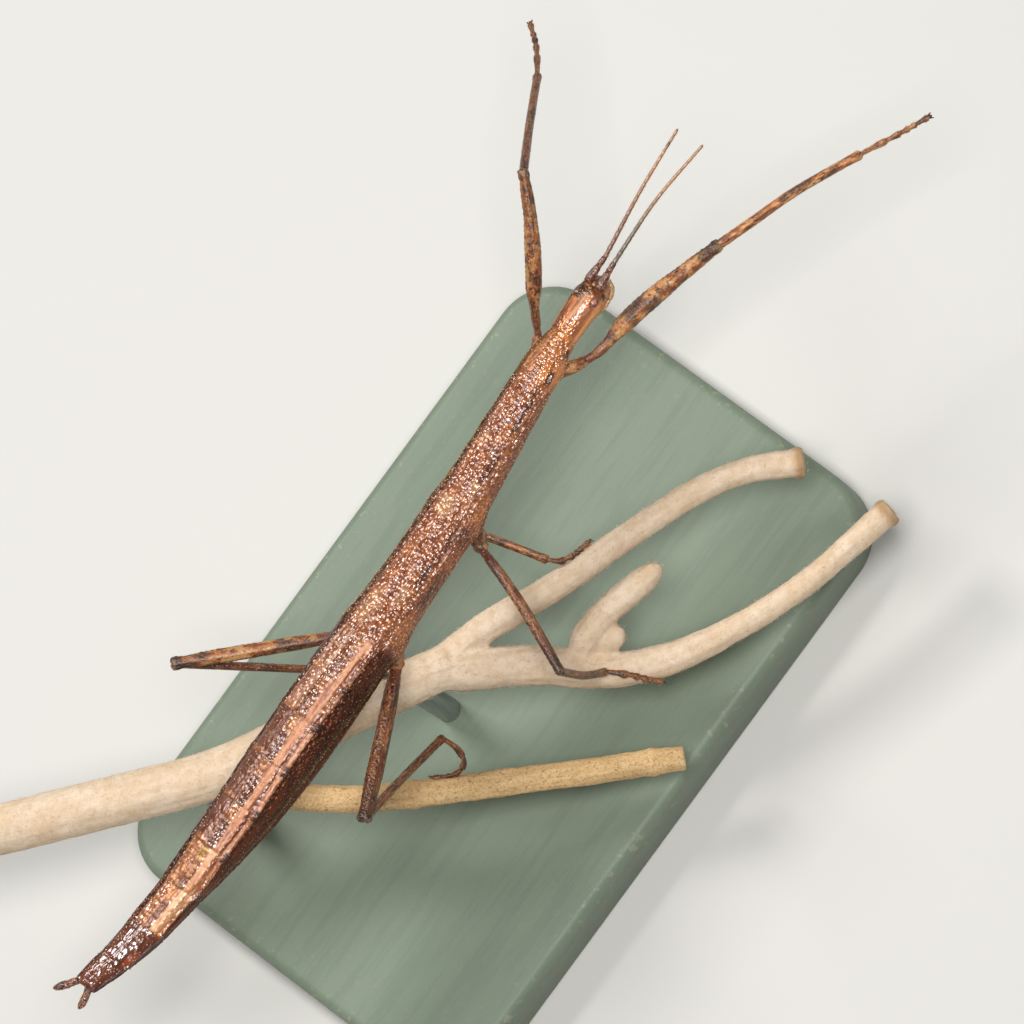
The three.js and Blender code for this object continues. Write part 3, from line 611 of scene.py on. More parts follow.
class Finish:
    """A material in the making. Every node in it comes from `node`."""

    def __init__(self, name):
        self.material = bpy.data.materials.new(name)
        self.material.use_nodes = True
        self.tree = self.material.node_tree
        self.tree.nodes.clear()
        self.made = {}

    def node(self, kind, settings=None, inputs=None, output=0):
        made = self.tree.nodes.new(kind)
        for key, value in (settings or {}).items():
            setattr(made, key, value)
        for key, value in (inputs or {}).items():
            if isinstance(value, Wire):
                self.tree.links.new(value.socket, made.inputs[key])
            elif made.inputs[key].type == "RGBA":
                colour = linear(value) if isinstance(value, tuple) else value
                made.inputs[key].default_value = (*colour, 1.0)
            else:
                made.inputs[key].default_value = value
        return None if output is None else Wire(self, made.outputs[output])

    def mark(self, name):
        """A number that the mesh keeps at its corners."""
        if name not in self.made:
            self.made[name] = self.node("ShaderNodeAttribute", {"attribute_name": name}, output="Fac")
        return self.made[name]

    def place(self, along=1.0, up=1.0):
        """The place in the part's frame in millimetres. A share below 1 draws patterns out that way."""
        if (along, up) not in self.made:
            spot = self.node("ShaderNodeTexCoord", output="Object")
            scale = (along / MM, 1 / MM, up / MM)
            self.made[along, up] = self.node(
                "ShaderNodeVectorMath", {"operation": "MULTIPLY"}, {0: spot, 1: scale})
        return self.made[along, up]

    def noise(self, scale, detail=2.0, rough=0.55, stretch=1.0, shift=0.0, where=None):
        """Soft random patches from about 0.25 to 0.75, that many to a millimetre."""
        where = where or self.place(stretch)
        if shift:
            where = self.node("ShaderNodeVectorMath", {"operation": "ADD"}, {0: where, 1: (shift,) * 3})
        values = {"Vector": where, "Scale": scale, "Detail": detail, "Roughness": rough}
        return self.node("ShaderNodeTexNoise", inputs=values)

    def cells(self, scale, stretch=1.0):
        """Distance from the middles of scattered cells, for grains and dots."""
        return self.node("ShaderNodeTexVoronoi", inputs={"Vector": self.place(stretch), "Scale": scale})

    def vector(self, x, y, z):
        return self.node("ShaderNodeCombineXYZ", inputs={0: x, 1: y, 2: z})

    def mix(self, share, under, over):
        """Lays one colour over another by a share from 0 to 1."""
        return self.node("ShaderNodeMix", {"data_type": "RGBA"}, {0: share, 6: under, 7: over}, 2)

    def paint(self, ground, *coats):
        """Lays pairs of (share, colour) over a ground colour in turn."""
        for share, colour in coats:
            ground = self.mix(share, ground, colour)
        return ground

    def bump(self, height, depth, under=None):
        """A normal for a height from 0 to 1, where 1 is that deep in millimetres."""
        values = {"Height": height, "Distance": depth * MM, "Strength": 1.0}
        if under:
            values["Normal"] = under
        return self.node("ShaderNodeBump", inputs=values)

    def done(self, colour, roughness, normal=None, **fixed):
        """Ends the material with one shader; fixed values go on the shader's own sockets."""
        values = {"Base Color": colour, "Roughness": roughness}
        if normal:
            values["Normal"] = normal
        values.update({key.replace("_", " "): value for key, value in fixed.items()})
        shader = self.node("ShaderNodeBsdfPrincipled", inputs=values)
        self.node("ShaderNodeOutputMaterial", inputs={"Surface": shader}, output=None)
        return self.material


# ---- the body


# Where each joint of the trunk lies along the body, from the neck back.
JOINTS = [4.8, 0.95, -11.95, -23.0, -27.1, -30.85, -35.05, -39.15, -43.15, -47.05, -51.05, -54.45]
TAIL_END = -57.6
TAIL_ROUND = 0.32  # the length of the tail's rounded end
FACE_START = 9.85  # where the head begins to round off
NECK, ABDOMEN_FRONT = JOINTS[0], JOINTS[3]
SKIN_FINISH = {"IOR": 1.8, "Coat_Roughness": 0.1}
CREAM = (234, 178, 124)
UMBER = (116, 62, 30)
DEGREES = 57.3  # degrees in a radian
# How far the midline and the upper edge of the dark flank lie round the body, in degrees.
TWIST = [(-46, 0), (-43, -3.5), (-40, -7), (-37, -11.5), (-35, -15), (-33, -16), (-30, -14.5), (-28, -9.5),
         (-26, -6), (-24, -1), (-22, 0)]
EDGES = [(-52, 78), (-51, 67), (-47.4, 61), (-46.6, 68), (-43.3, 53), (-31, 51), (-27, 47), (-23.3, 45),
         (-22.9, 51), (-22.3, 54), (-21, 50), (-20, 44), (-19, 45), (-16, 50.5), (-13, 51), (-12.2, 46),
         (-11.9, 40), (-11, 42), (-9, 47), (-7, 55), (0.9, 60)]


def corners_of(node):
    """The corners of one of the frame's solids, in millimetres from the insect's zero point."""
    found = np.array([corner.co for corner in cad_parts[node].data.vertices])
    return found / MM - HELD


def stations(nodes, rise, least=80):
    """Centre, half width and half depth of solids along the body, as rows of a table, back to front."""
    rows = []
    for node in nodes:
        corners = corners_of(node)
        keys = np.round(corners[:, 0], 2)
        for x in np.unique(keys):
            ring = corners[keys == x]
            if len(ring) < least:
                continue
            low, high = ring.min(0), ring.max(0)
            depth = (high[2] - low[2]) / (1 + rise)
            rows.append((x, (low[1] + high[1]) / 2, (high[1] - low[1]) / 2, low[2] + depth, depth))
    return np.array(sorted(rows)).T


def along_body(table, x):
    """The table's columns read at places along the body, with their corners rounded off."""
    near = np.linspace(-0.9, 0.9, 7)
    weights = np.exp(-((near / 0.5) ** 2))
    read = [np.interp(x[:, None] + near, table[0], column) @ weights / weights.sum() for column in table[1:]]
    return np.array(read)


def from_eye(x, flank):
    """How far places on the head lie ahead of the eye's middle and beside it, in millimetres."""
    return x - EYE["x"], np.radians(flank - EYE["turn"]) * EYE["radius"]


class Trunk:
    """The skin's rings, from the tail to the face, before and after its relief."""

    def __init__(self, opt):
        tail = TAIL_END + TAIL_ROUND * (1 - np.cos(np.linspace(0.1, 0.95, 5) * np.pi / 2))
        face = FACE_START + (HEAD_FRONT - FACE_START) * np.sin(np.linspace(0, 0.93, 10) * np.pi / 2)
        middle = np.arange(TAIL_END + TAIL_ROUND, FACE_START, opt.ring_gap / MM)
        self.x = np.concatenate((tail, middle, face))
        self.turn = np.linspace(-180, 180, opt.sides, endpoint=False)
        self.around = self.turn[None] - np.interp(self.x, *np.array(TWIST).T)[:, None]
        self.edge = np.interp(self.x, *np.array(EDGES).T)[:, None]
        self.opt = opt
        self.make_sections()

    def make_sections(self):
        x = self.x
        trunk = stations(TRUNK, BACK_HEIGHT)
        head = stations(["head"], 1.0)
        y, half_width, z, half_depth = along_body(trunk, x)
        head_y, _, head_z, _ = along_body(head, x)
        is_head = step(4.55, 5.05, x)
        share = (x - NECK) / (HEAD_FRONT - NECK)
        blunt = np.sqrt(1 - np.clip((x - FACE_START) / (HEAD_FRONT - FACE_START), 0, 1) ** 2)
        tail = np.sqrt(1 - 0.55 * np.clip((TAIL_END + TAIL_ROUND - x) / TAIL_ROUND, 0, 1) ** 2)
        half_width = half_width * (1 - is_head) + eased(HEAD_WIDTHS, share) * is_head
        half_depth = half_depth * (1 - is_head) + eased(HEAD_DEPTHS, share) * is_head
        self.is_head = is_head[:, None]
        self.y = (y * (1 - is_head) + head_y * is_head)[:, None]
        self.z = (z * (1 - is_head) + head_z * is_head)[:, None]
        half_width = half_width + 0.13 * hill(x, 4.9, 1.0)
        self.half_width = (half_width * blunt * tail)[:, None]
        self.half_depth = (half_depth * blunt * tail)[:, None]
        self.smooth = self.section(self.turn)
        self.rings = raised(self.smooth, self.relief())

    def section(self, turn):
        """The plain section's corners at these turns from the back's midline, to the right above zero."""
        angle = np.radians(turn)[None]
        upper = np.abs(np.cos(angle)) ** SHOULDER * BACK_HEIGHT
        arch = np.where(np.cos(angle) > 0, upper, np.cos(angle))
        arch = arch * (1 - self.is_head) + np.cos(angle) * self.is_head
        y = self.y - np.sin(angle) * self.half_width
        z = self.z + arch * self.half_depth
        return grid(self.x[:, None], y, z)

    def relief(self):
        """How far the skin stands out from its plain sections."""
        x, turn, edge = self.x[:, None], self.around, self.edge
        flank = np.abs(turn)
        spots = self.smooth
        trunk = 1 - self.is_head
        plates = step(-23.2, -24.4, x)
        rough = 0.25 + 0.75 * trunk
        high = 0.03 * lumps(spots * (0.5, 1, 1), 1.2, 1) * trunk
        ridge = 1 - np.abs(lumps(spots * (0.13, 1, 1), 0.36, 2)) * 2
        high += self.opt.wrinkle / MM * ridge * (1.3 * rough - 0.3)
        high += 0.016 * lumps(spots * (0.35, 1, 1), 0.17, 3) * rough
        for joint in JOINTS:
            plate = joint < -20
            bent = x - joint - (0.1 if plate else 0.3) * lumps(spots * (0, 1, 1), 1.1, 4)
            bent = bent + (0.14 * hill(turn, 4, 9) if plate else 0)
            rim, depth = (0.022, 0.05) if plate else (0.015, 0.035)
            high = high + rim * hill(bent, 0.25, 0.2) - depth * hill(bent, -0.05, 0.075)
            if joint < -24:
                high += 0.24 * hill(turn - edge, -2, 7) * hill(x, joint + 0.05, 0.4)
                high += 0.07 * hill(turn, -45, 6) * hill(x, joint + 0.05, 0.4)
        high += 0.05 * hill(turn, 0, 1.3) * trunk * step(-57, -55, x)
        high -= 0.03 * hill(flank, 3.2, 1.4) * trunk
        keels = plates * step(-53.0, -50.5, x)
        high += self.opt.keel / MM * hill(flank - edge, -4, 3.4) * keels
        high -= 0.05 * hill(flank - edge, -11, 2.6) * keels
        thorax = (1 - plates) * step(0.8, 0.2, x)
        high = high - 0.08 * hill(flank - edge, 0, 1.8) * thorax + 0.05 * hill(flank - edge, 5, 3.5) * thorax
        high += 0.05 * hill(flank, 34, 3.0) * thorax
        belly = step(1.5, 0.2, x)
        high = high - 0.08 * hill(flank, 99, 3.2) * belly + 0.06 * hill(flank, 109, 5) * belly
        for middle, swell, reach in ((2.4, 0.2, 0.8), (-11.2, 0.32, 1.2), (-22.3, 0.36, 1.3)):
            high += swell * hill(x, middle, reach) * hill(flank, 102, 22)
        collar = hill(x, 4.35, 0.22) * step(130, 90, flank)
        high = high + 0.015 * collar - 0.06 * hill(x, 4.86, 0.09)
        pronotum = step(0.9, 1.3, x) * step(4.6, 4.2, x)
        cross = 2.75 - 0.3 * (flank / 50) ** 2
        high -= 0.04 * hill(x, cross, 0.13) * step(58, 44, flank) * pronotum
        high = high - 0.035 * hill(turn, 0, 3.2) * pronotum + 0.05 * hill(flank, 62, 5) * pronotum
        return high + self.face_relief(x, turn)

    def face_relief(self, x, turn):
        """Eye sockets, the feelers' sockets and the low grooves of the head."""
        flank = np.abs(turn)
        ahead, beside = from_eye(x, flank)
        eye = np.hypot(ahead / (EYE["length"] / 2), beside / (EYE["width"] / 2))
        high = 0.03 * hill(eye, 1.22, 0.2) - 0.07 * step(1.12, 0.85, eye)
        socket = np.hypot((x - 9.25) / 0.42, np.radians(flank - 27) * 1.05 / 0.42)
        high = high + 0.07 * hill(socket, 1.1, 0.22) - 0.05 * step(0.95, 0.6, socket)
        high -= 0.05 * hill(turn, 0, 5) * hill(x, 8.2, 0.9)
        high += 0.06 * hill(flank, 20, 10) * hill(x, 8.15, 0.45)
        cheek = step(4.9, 5.6, x) * step(8.0, 7.4, x)
        return high + (0.035 * hill(flank, 74, 9) - 0.03 * hill(flank, 56, 5)) * cheek

    def marks(self):
        edges = np.array([HEAD_FRONT] + JOINTS + [TAIL_END])
        part = np.clip(np.searchsorted(-edges, -self.x, side="right") - 1, 0, len(JOINTS))
        share = (edges[part] - self.x) / (edges[part] - edges[part + 1])
        return {
            "along": self.x[:, None], "flank": np.abs(self.around), "seam": np.abs(self.around) - self.edge,
            "lean": np.sin(np.radians(self.around)), "part": part[:, None], "share": share[:, None]}


class BackFinish(Finish):
    """Glossy granular cuticle with the insect's bands, panels and streaks laid out along the body."""

    def __init__(self, opt, name):
        super().__init__(name)
        self.opt = opt
        self.along, self.part, self.share, self.edge, self.lean, self.seam = (
            self.mark(mark) for mark in ("along", "part", "share", "flank", "lean", "seam"))
        self.patches = self.noise(0.55, 3.0, stretch=0.45)
        self.streaks = self.noise(2.6, 3.0, stretch=0.16, shift=7.0)
        self.lines = self.noise(3.0, 3.0, stretch=0.1, shift=5.0)
        self.mottle = self.noise(5.5, 2.0, stretch=0.6, shift=3.0)
        self.blots = self.noise(1.7, 2.0, stretch=0.6, shift=11.0)
        self.flank = self.edge + (self.streaks - 0.5) * 7.0
        self.middle = self.lean * DEGREES + (self.patches - 0.5) * 3.0
        self.right = self.lean.above(0, 0.03)
        self.left = 1 - self.right
        self.behind = self.along.below(ABDOMEN_FRONT, 0.4)
        self.slope = self.flank - self.share * 6.0
        self.early = self.along.below(NECK, 0.2)
        self.front = self.along.above(0.9, 0.6)
        self.shaded = self.flank.within(5, 48, 5) * self.left * self.along.within(7.85, 9, 0.15)
        self.shaded = self.shaded.most(self.flank.below(8, 3) * self.along.within(8.7, 9.35, 0.3))
        low_left = self.flank.above(46, 4) * self.left
        self.shaded = self.shaded.most(low_left * self.along.within(7.3, 9.7, 0.3))

    def length(self, number):
        """1 on the body's length of that number."""
        return self.part.within(number - 0.5, number + 0.5, 0.05)

    def spots(self, lie, feather, colour, *rows):
        """Coats of one colour. Each row has a spot's ends along the body, softness, turns and share."""
        return [(self.along.within(start, end, soft) * lie.within(low, high, feather) * share, colour)
                for start, end, soft, low, high, share in rows]

    def thorax(self):
        """Copper with rusty streaks, cream spots at the joints and a broken dark line."""
        opt, along, flank, middle, seam = self.opt, self.along, self.flank, self.middle, self.seam
        dim = self.mottle.above(0.44, 0.06)
        return self.paint(
            self.mix(self.patches.above(0.5, 0.14), opt.copper, (186, 112, 62)),
            (self.streaks.above(0.55, 0.07) * 0.6, opt.rust),
            (self.blots.above(0.57, 0.05) * 0.5, opt.rust),
            (self.blots.below(0.44, 0.05) * 0.6, opt.orange),
            (self.mottle.below(0.4, 0.05) * 0.3, opt.pale),
            *self.spots(middle, 4, CREAM, (-11.95, -10.3, 0.2, -27, 7, 0.85),
                        (-22.3, -19.2, 0.4, -28, -8, 0.7), (-5.9, -4.6, 0.3, -29, -14, 0.5),
                        (-9.2, -8.1, 0.3, 17, 31, 0.7), (-19.3, -17.9, 0.3, 17, 31, 0.7)),
            *self.spots(abs(middle), 0.4, opt.rust, (-22.8, -17, 0.5, 0.9, 2.6, 0.8)),
            *self.spots(middle, 2.5, opt.dark, (-3.8, 0.9, 0.4, 29, 41, dim), (-8.2, -5.3, 0.4, 24, 37, dim)),
            *self.spots(middle, 2, opt.dark, (-14.2, -12.2, 0.3, 32, 40, dim)),
            *self.spots(middle, 2.5, opt.dark, (-17.6, -14.8, 0.4, 28, 39, dim)),
            (seam.above(1.5, 1.5) * self.right * 0.85, (172, 98, 46)),
            (seam.above(4, 3) * self.streaks.above(0.5, 0.08) * 0.55, opt.rust),
            (abs(seam).below(1.3, 0.7) * self.right * 0.75, (184, 134, 88)),
            *self.spots(flank, 4, opt.orange, (-11.2, -8.8, 0.4, 52, 88, 0.7),
                        (-22.2, -19.8, 0.4, 54, 88, 0.7)),
            *self.spots(flank, 4, opt.dark, (-18.8, -15.3, 0.4, 62, 92, dim)),
            (along.within(-12.9, -11.6, 0.25) * flank.within(44, 80, 4) * dim * 0.8, opt.dark),
            (self.left * flank.within(37, 43, 1.5) * 0.92, opt.dark),
            (self.left * flank.above(43.5, 1.5) * 0.9, (104, 78, 28)),
            (self.left * flank.above(47, 2) * self.lines.above(0.52, 0.05) * 0.6, opt.dark))

    def abdomen(self):
        """Plates with a pale panel, a dark flank and a fine midline, and the brown tail behind them."""
        opt, seam, right, left = self.opt, self.seam, self.right, self.left
        flank, middle = self.flank, self.middle
        part, share, lines, streaks, mottle = self.part, self.share, self.lines, self.streaks, self.mottle
        fair, warm = part.below(5.5, 0.1), part.above(8.5, 0.1)
        rear, fore = share.above(0.87, 0.03), share.below(0.36, 0.05)
        inner = right * self.slope.below(14.5, 1.2)
        west = self.paint(
            self.mix(lines.above(0.48, 0.08), (168, 96, 44), (96, 50, 24)),
            (share.within(0.4, 0.87, 0.08) * flank.below(15, 4) * 0.6, UMBER),
            (lines.below(0.43, 0.03) * 0.7, opt.dark),
            # Pale pinkish streaks on the left of the second and third plates: partly their own colour, partly
            # painted highlight for the glare there.
            (fair, self.mix(lines.above(0.54, 0.07), (226, 172, 136), (150, 90, 56))),
            (warm * 0.9, self.mix(mottle.above(0.57, 0.05), (212, 140, 78), (150, 84, 42))),
            (rear * flank.within(6, 42, 7) * lines.below(0.58, 0.08) * 0.8, (214, 140, 76)))
        east = self.paint(
            self.mix(fore, UMBER, (202, 132, 68)),
            ((1 - fore) * mottle.above(0.52, 0.05) * 0.7, opt.dark),
            (fair * mottle.below(0.52, 0.05) * 0.8, (196, 134, 100)))
        near_joint = abs(share - 0.5)
        midline = share.within(0.03, 0.97, 0.02)
        plates = self.paint(
            self.mix(lines.above(0.5, 0.1), (206, 140, 94), (172, 102, 58)),
            (lines.below(0.43, 0.04) * 0.5, opt.pale),
            (mottle.above(0.64, 0.03) * 0.5, opt.rust),
            (lines.above(0.57, 0.03) * 0.55, opt.rust),
            (left, west),
            (inner * 0.95, east),
            (right * flank.within(36, 39, 0.8) * mottle.above(0.44, 0.06) * 0.85, opt.rust),
            (right * flank.within(40.5, 43.5, 0.8) * streaks.above(0.45, 0.05) * 0.85, opt.rust),
            (abs(middle).below(2.6, 0.5) * midline * part.below(9.5, 0.1) * 0.9, opt.dark),
            (abs(middle).below(0.9, 0.4) * midline * part.below(9.5, 0.1) * 0.8, opt.orange),
            (right * flank.within(44, 60, 3) * part.within(5.5, 9.5, 0.1) * 0.75,
             self.mix(lines.above(0.52, 0.08), (230, 166, 122), (196, 118, 70))),
            (left * flank.above(37, 2), opt.dark),
            (seam.above(0.5, 0.8), self.mix(lines.above(0.5, 0.08), opt.dark, (84, 50, 26))),
            (seam.within(5, 22, 4) * share.within(0.12, 0.9, 0.06) * streaks.above(0.45, 0.05) * 0.8,
             UMBER),
            (self.edge.within(88, 99, 1.5) * 0.9, opt.olive),
            (self.edge.within(95.5, 97.5, 0.7) * 0.8, opt.pale),
            (self.edge.above(104, 3) * 0.7, opt.rust),
            (near_joint.above(0.468, 0.012) * self.edge.within(1, 17, 2.5) * right * 0.8, (200, 176, 130)),
            (seam.within(-8, 12, 1.5) * near_joint.above(0.385, 0.03) * part.within(4.5, 10.5, 0.1),
             opt.dark))
        ninth, tenth = self.length(9), self.length(10)
        brown = self.paint(
            self.mix(streaks.above(0.5, 0.1), (118, 66, 44), (74, 38, 26)),
            (flank.above(70, 6), opt.dark),
            (abs(middle).below(5, 2) * 0.7, opt.rust))
        red = self.length(11) * share.above(0.58, 0.08) * middle.within(40, 54, 4)
        return self.paint(
            plates,
            (ninth * share.within(0.03, 0.3, 0.04) * middle.within(-4, 13, 2) * 0.85, (200, 158, 56)),
            (ninth * share.within(0.3, 0.75, 0.06) * middle.within(2, 14, 2) * 0.8, (206, 134, 62)),
            (tenth * right * flank.within(19, 57, 3) * 0.9,
             self.mix(mottle.above(0.5, 0.1), opt.pale, CREAM)),
            (tenth * right * flank.within(44, 60, 4) * share.above(0.5, 0.3) * 0.7, (206, 126, 62)),
            (tenth * share.below(0.3, 0.05) * middle.within(-14, 14, 4) * 0.7, opt.orange),
            (ninth * right * self.slope.within(13, 37, 4) * 0.8, self.mix(share, opt.pale, (212, 146, 96))),
            (part.within(5.5, 8.5, 0.1) * middle.within(-44, 4, 5) * lines.below(0.52, 0.06) * 0.55,
             (112, 60, 32)),
            (self.along.below(-51.1, 0.12), brown),
            (red * 0.9, (188, 78, 28)))

    def head(self):
        """Orange tan with dark marks behind and before the eyes, painted shade down the right side of the
        head and the left side of the pronotum, and the pronotum's own spots.
        """
        opt, along, right, left = self.opt, self.along, self.right, self.left
        flank, middle = self.flank, self.middle
        lines, streaks, mottle, early = self.lines, self.streaks, self.mottle, self.early
        ahead, aside = along - 9.07, self.edge - 63
        spot = ahead * ahead + aside * aside * 0.00042
        return self.paint(
            self.mix(streaks.above(0.52, 0.1) * 0.5, opt.orange, opt.copper),
            (middle.below(11, 5) * 0.75, self.mix(lines.above(0.48, 0.1), (186, 110, 50), (136, 76, 36))),
            (middle.within(-2, 6, 3) * 0.5, (214, 146, 84)),
            (lines.above(0.56, 0.04) * middle.below(11, 5) * 0.7, opt.rust),
            (mottle.above(0.62, 0.04) * 0.45, opt.rust),
            (mottle.below(0.38, 0.05) * 0.3, opt.pale),
            # Darker tan and olive on the pronotum's left side: partly its own colour, partly painted shade.
            (flank.within(22, 46, 4) * left * early * 0.8, (158, 98, 38)),
            (flank.above(44, 4) * left * early * 0.9, (112, 82, 30)),
            (flank.within(44, 48, 1.5) * left * early * lines.above(0.48, 0.05) * 0.8, opt.rust),
            (self.blots.above(0.56, 0.05) * early * 0.5, UMBER),
            (flank.within(3, 14, 3) * right * along.within(0.9, 4.4, 0.4) * streaks.above(0.42, 0.08) * 0.5,
             UMBER),
            # A brown band below the head's highlight and a rust line along the cheek's groove: painted shade.
            (flank.within(33, 56, 5) * right * along.within(5, 7.9, 0.2) * 0.85, (142, 78, 38)),
            (flank.within(58, 62, 1.8) * right * along.within(4.95, 7.4, 0.2) * 0.6, opt.rust),
            (flank.within(64, 92, 4) * along.within(5, 8.2, 0.3) * 0.8, (220, 150, 88)),
            (flank.within(3, 60, 5) * right * along.above(8.6, 0.14) * 0.85, (92, 46, 28)),
            (flank.within(66, 84, 5) * right * along.within(8.75, 9.15, 0.1) * 0.8, opt.dark),
            (spot.below(0.04, 0.03) * right, opt.dark),
            (along.above(9.55, 0.15) * 0.8, (96, 48, 28)),
            (self.shaded * 0.95, self.mix(lines.above(0.5, 0.08), (70, 48, 26), (98, 68, 38))),
            (flank.within(58, 84, 4) * right * along.within(3.5, 4.2, 0.16) * 0.9, opt.dark),
            (flank.within(42, 64, 4) * along.within(0.9, 2.1, 0.3) * right * 0.9, opt.dark),
            (flank.within(49, 56, 2) * along.within(1.2, 1.6, 0.12) * right, (150, 136, 120)),
            (flank.above(108, 6) * 0.5, opt.rust))

    def colour(self):
        """The three grounds joined, with broken dark creases at the joints."""
        colour = self.paint(
            self.thorax(), (self.behind, self.abdomen()), (self.along.above(0.3, 0.9), self.head()))
        crease = abs(self.share - 0.5).above(0.49, 0.006) * self.along.below(4.3, 0.1)
        crease *= (self.patches + self.streaks).above(0.95, 0.1)
        return self.paint(colour, (crease * 0.6, self.opt.rust))

    def glaze(self, colour, black):
        """Ends the skin's material: pebbles that sparkle, with painted shade in their gaps and painted
        highlight on their tips, calm panels and dull bronze flanks.
        """
        along, flank, right, left, behind, front = (
            self.along, self.flank, self.right, self.left, self.behind, self.front)
        part, middle, not_front = self.part, self.middle, 1 - front
        calm = behind * right * self.slope.within(16, 33, 4) * part.below(10.5, 0.1) * 0.76
        calm = calm.most(along.within(6.2, 8.6, 1.1) * (1 - self.shaded) * 0.93)
        pebble = self.cells(3.0, stretch=0.8) * (0.55 + self.noise(1.7, 2.0) * 0.9)
        small = self.cells(4.0, stretch=0.8)
        clear = self.length(9) * middle.within(-26, 14, 4) + self.length(10) * middle.within(-8, 16, 4)
        clear = clear.most(part.within(5.5, 8.5, 0.1) * middle.within(-44, 4, 5) * 0.8)
        strip = right * flank.within(38, 53, 4) * self.seam.below(-2, 3) * part.within(5.5, 10.5, 0.1)
        calm = calm.most(strip * 0.6)
        bare = (1 - calm) * (1 - clear * 0.65)
        domes = (1 - pebble * pebble * 3.2) * not_front + (1 - small * small * 1.1) * front
        polish = along.below(-41.5, 2)
        gloss = self.streaks.above(0.49, 0.09) * (1 - behind) + self.lines.above(0.485, 0.06) * behind
        gloss = gloss.most(polish * 0.85)
        # Rust in the hollows between pebbles: partly the ground's own colour, partly painted shade.
        gaps_and_hollow_shade = pebble.above(0.36, 0.12) * (1 - calm) * not_front
        # Pale spots at each pebble's middle, thicker along the gloss streaks: partly the granules' paler
        # tips, partly painted highlight for their sparkle.
        tips_and_glints = pebble.below(0.15, 0.05) * bare * (0.45 - black * 0.3) * not_front * (0.3 + gloss * 0.7)
        colour = self.paint(colour, (gaps_and_hollow_shade * 0.6, self.opt.rust), (tips_and_glints, (240, 206, 180)))
        streak = flank.within(13, 31, 4) * right * along.within(5.3, 8.3, 0.3)
        bronze = black.most(left * flank.above(43, 2)).most(self.shaded * 0.85)
        bronze = bronze.most(left * front * 0.4) * 0.8
        temple = left * flank.above(12, 8) * self.early * front
        dull = self.edge.above(62, 12) * 0.1 + bronze * 0.25 + temple * 0.25
        rough = 0.11 + self.mottle * 0.1 + dull + calm * 0.4 + clear * 0.2 - streak * 0.28
        rough = rough + (1 - gloss) * not_front * 0.14
        relief = domes * bare * (1 - polish * (0.35 + part.above(10.5, 0.1) * 0.35))
        normal = self.bump(relief, 0.042, self.bump(small * small * front, -0.03))
        metal = bronze.most(clear * 0.35).most(calm * behind * 0.3)
        return self.done(colour, rough, normal, Metallic=metal, Coat_Weight=streak * 0.3, **SKIN_FINISH)


def back_finish(opt, name, grain=False):
    """The body's cuticle, or the paler one of its granules, whose paleness is partly painted highlight."""
    skin = BackFinish(opt, name)
    colour = skin.colour()
    black = skin.seam.above(0, 2) * skin.behind
    if not grain:
        return skin.glaze(colour, black)
    # The granules are painted paler: partly their own cream colour, partly painted highlight for their
    # sparkle.
    colour = skin.mix(skin.mark("tone").above(0.35, 0.2) * (0.5 - black * 0.35), colour, (238, 196, 160))
    rough = 0.12 + skin.noise(14.0, 2.0) * 0.1 + black * 0.1
    return skin.done(colour, rough, Coat_Weight=0.3, **SKIN_FINISH)


class INSECT_OT_body(bpy.types.Operator):
    """Makes the skin of the head, thorax and abdomen as one sheet, with its granules"""

    bl_idname = "insect.body"
    bl_label = "Make the body"

    def execute(self, context):
        opt = context.scene.insect_body
        trunk = Trunk(opt)
        skin = Piece("body_skin", "along", "flank", "lean", "part", "share", "seam")
        skin.add_tube(trunk.rings, **trunk.marks())
        skin.finish(back_finish(opt, "body cuticle"), "body_cuticle", *TRUNK, "head")
        self.grow_granules(opt, trunk)
        return {"FINISHED"}

    def grow_granules(self, opt, trunk):
        random = np.random.default_rng(11)
        x, flank = trunk.x[:, None], np.abs(trunk.around)
        crowd = step(0.9, 0.3, x) * step(-23.5, -22.5, x) + 0.62 * step(-22.5, -23.5, x)
        crowd = crowd + 0.6 * step(0.9, 1.3, x) * step(4.8, 4.6, x) + 0.12 * trunk.is_head
        crowd = crowd * (0.75 + 0.75 * hill(flank, 72, 26)) * (1 - 0.8 * step(112, 135, flank))
        crowd = crowd * (1 + 0.9 * hill(flank - trunk.edge, -4, 4) * step(-23, -24, x))
        ahead, beside = from_eye(x, flank)
        crowd = crowd * step(1.0, 1.3, np.hypot(ahead / 0.5, beside / 0.45))
        places, normals, heading, roots, at = sown(trunk.rings, crowd, opt.granules, 0.19, random)
        number = len(places)
        width = opt.granule / MM * (0.5 + 0.5 * random.random(number) ** 1.6)
        width = width * (1 - 0.45 * trunk.is_head[at[0], 0]) * (1 - 0.25 * step(50, 62, flank[at]))
        height = width * (0.25 + 0.45 * random.random(number) ** 2) * (1 + 1.6 * step(50, 66, flank[at]))
        sizes = np.stack((width, width, height), 1)
        frames = standing(normals, heading, np.zeros(number), random)
        marks = {}
        for mark, values in trunk.marks().items():
            marks[mark] = np.broadcast_to(values, trunk.rings.shape[:2])[at]
        grains = Piece("body_granules", "along", "flank", "lean", "part", "share", "seam", "tone")
        grains.add_copies(dome_solid(), places, frames, sizes, roots, tone=random.random(number), **marks)
        grains.finish(back_finish(opt, "body granules", grain=True), "body_cuticle")


# ---- eyes, mouthparts and tail


def ball_rings(centre, axes, radii, steps, sides):
    """Rings of an egg: its last axis runs from pole to pole."""
    polar = np.linspace(0.06, np.pi - 0.06, steps)[:, None]
    turn = np.linspace(0, 2 * np.pi, sides, endpoint=False)[None]
    spots = [np.sin(polar) * np.cos(turn), np.sin(polar) * np.sin(turn), np.cos(polar) + 0 * turn]
    spots = np.stack(spots, -1)
    return np.asarray(centre) + (spots * np.asarray(radii)) @ np.asarray(axes, float), spots


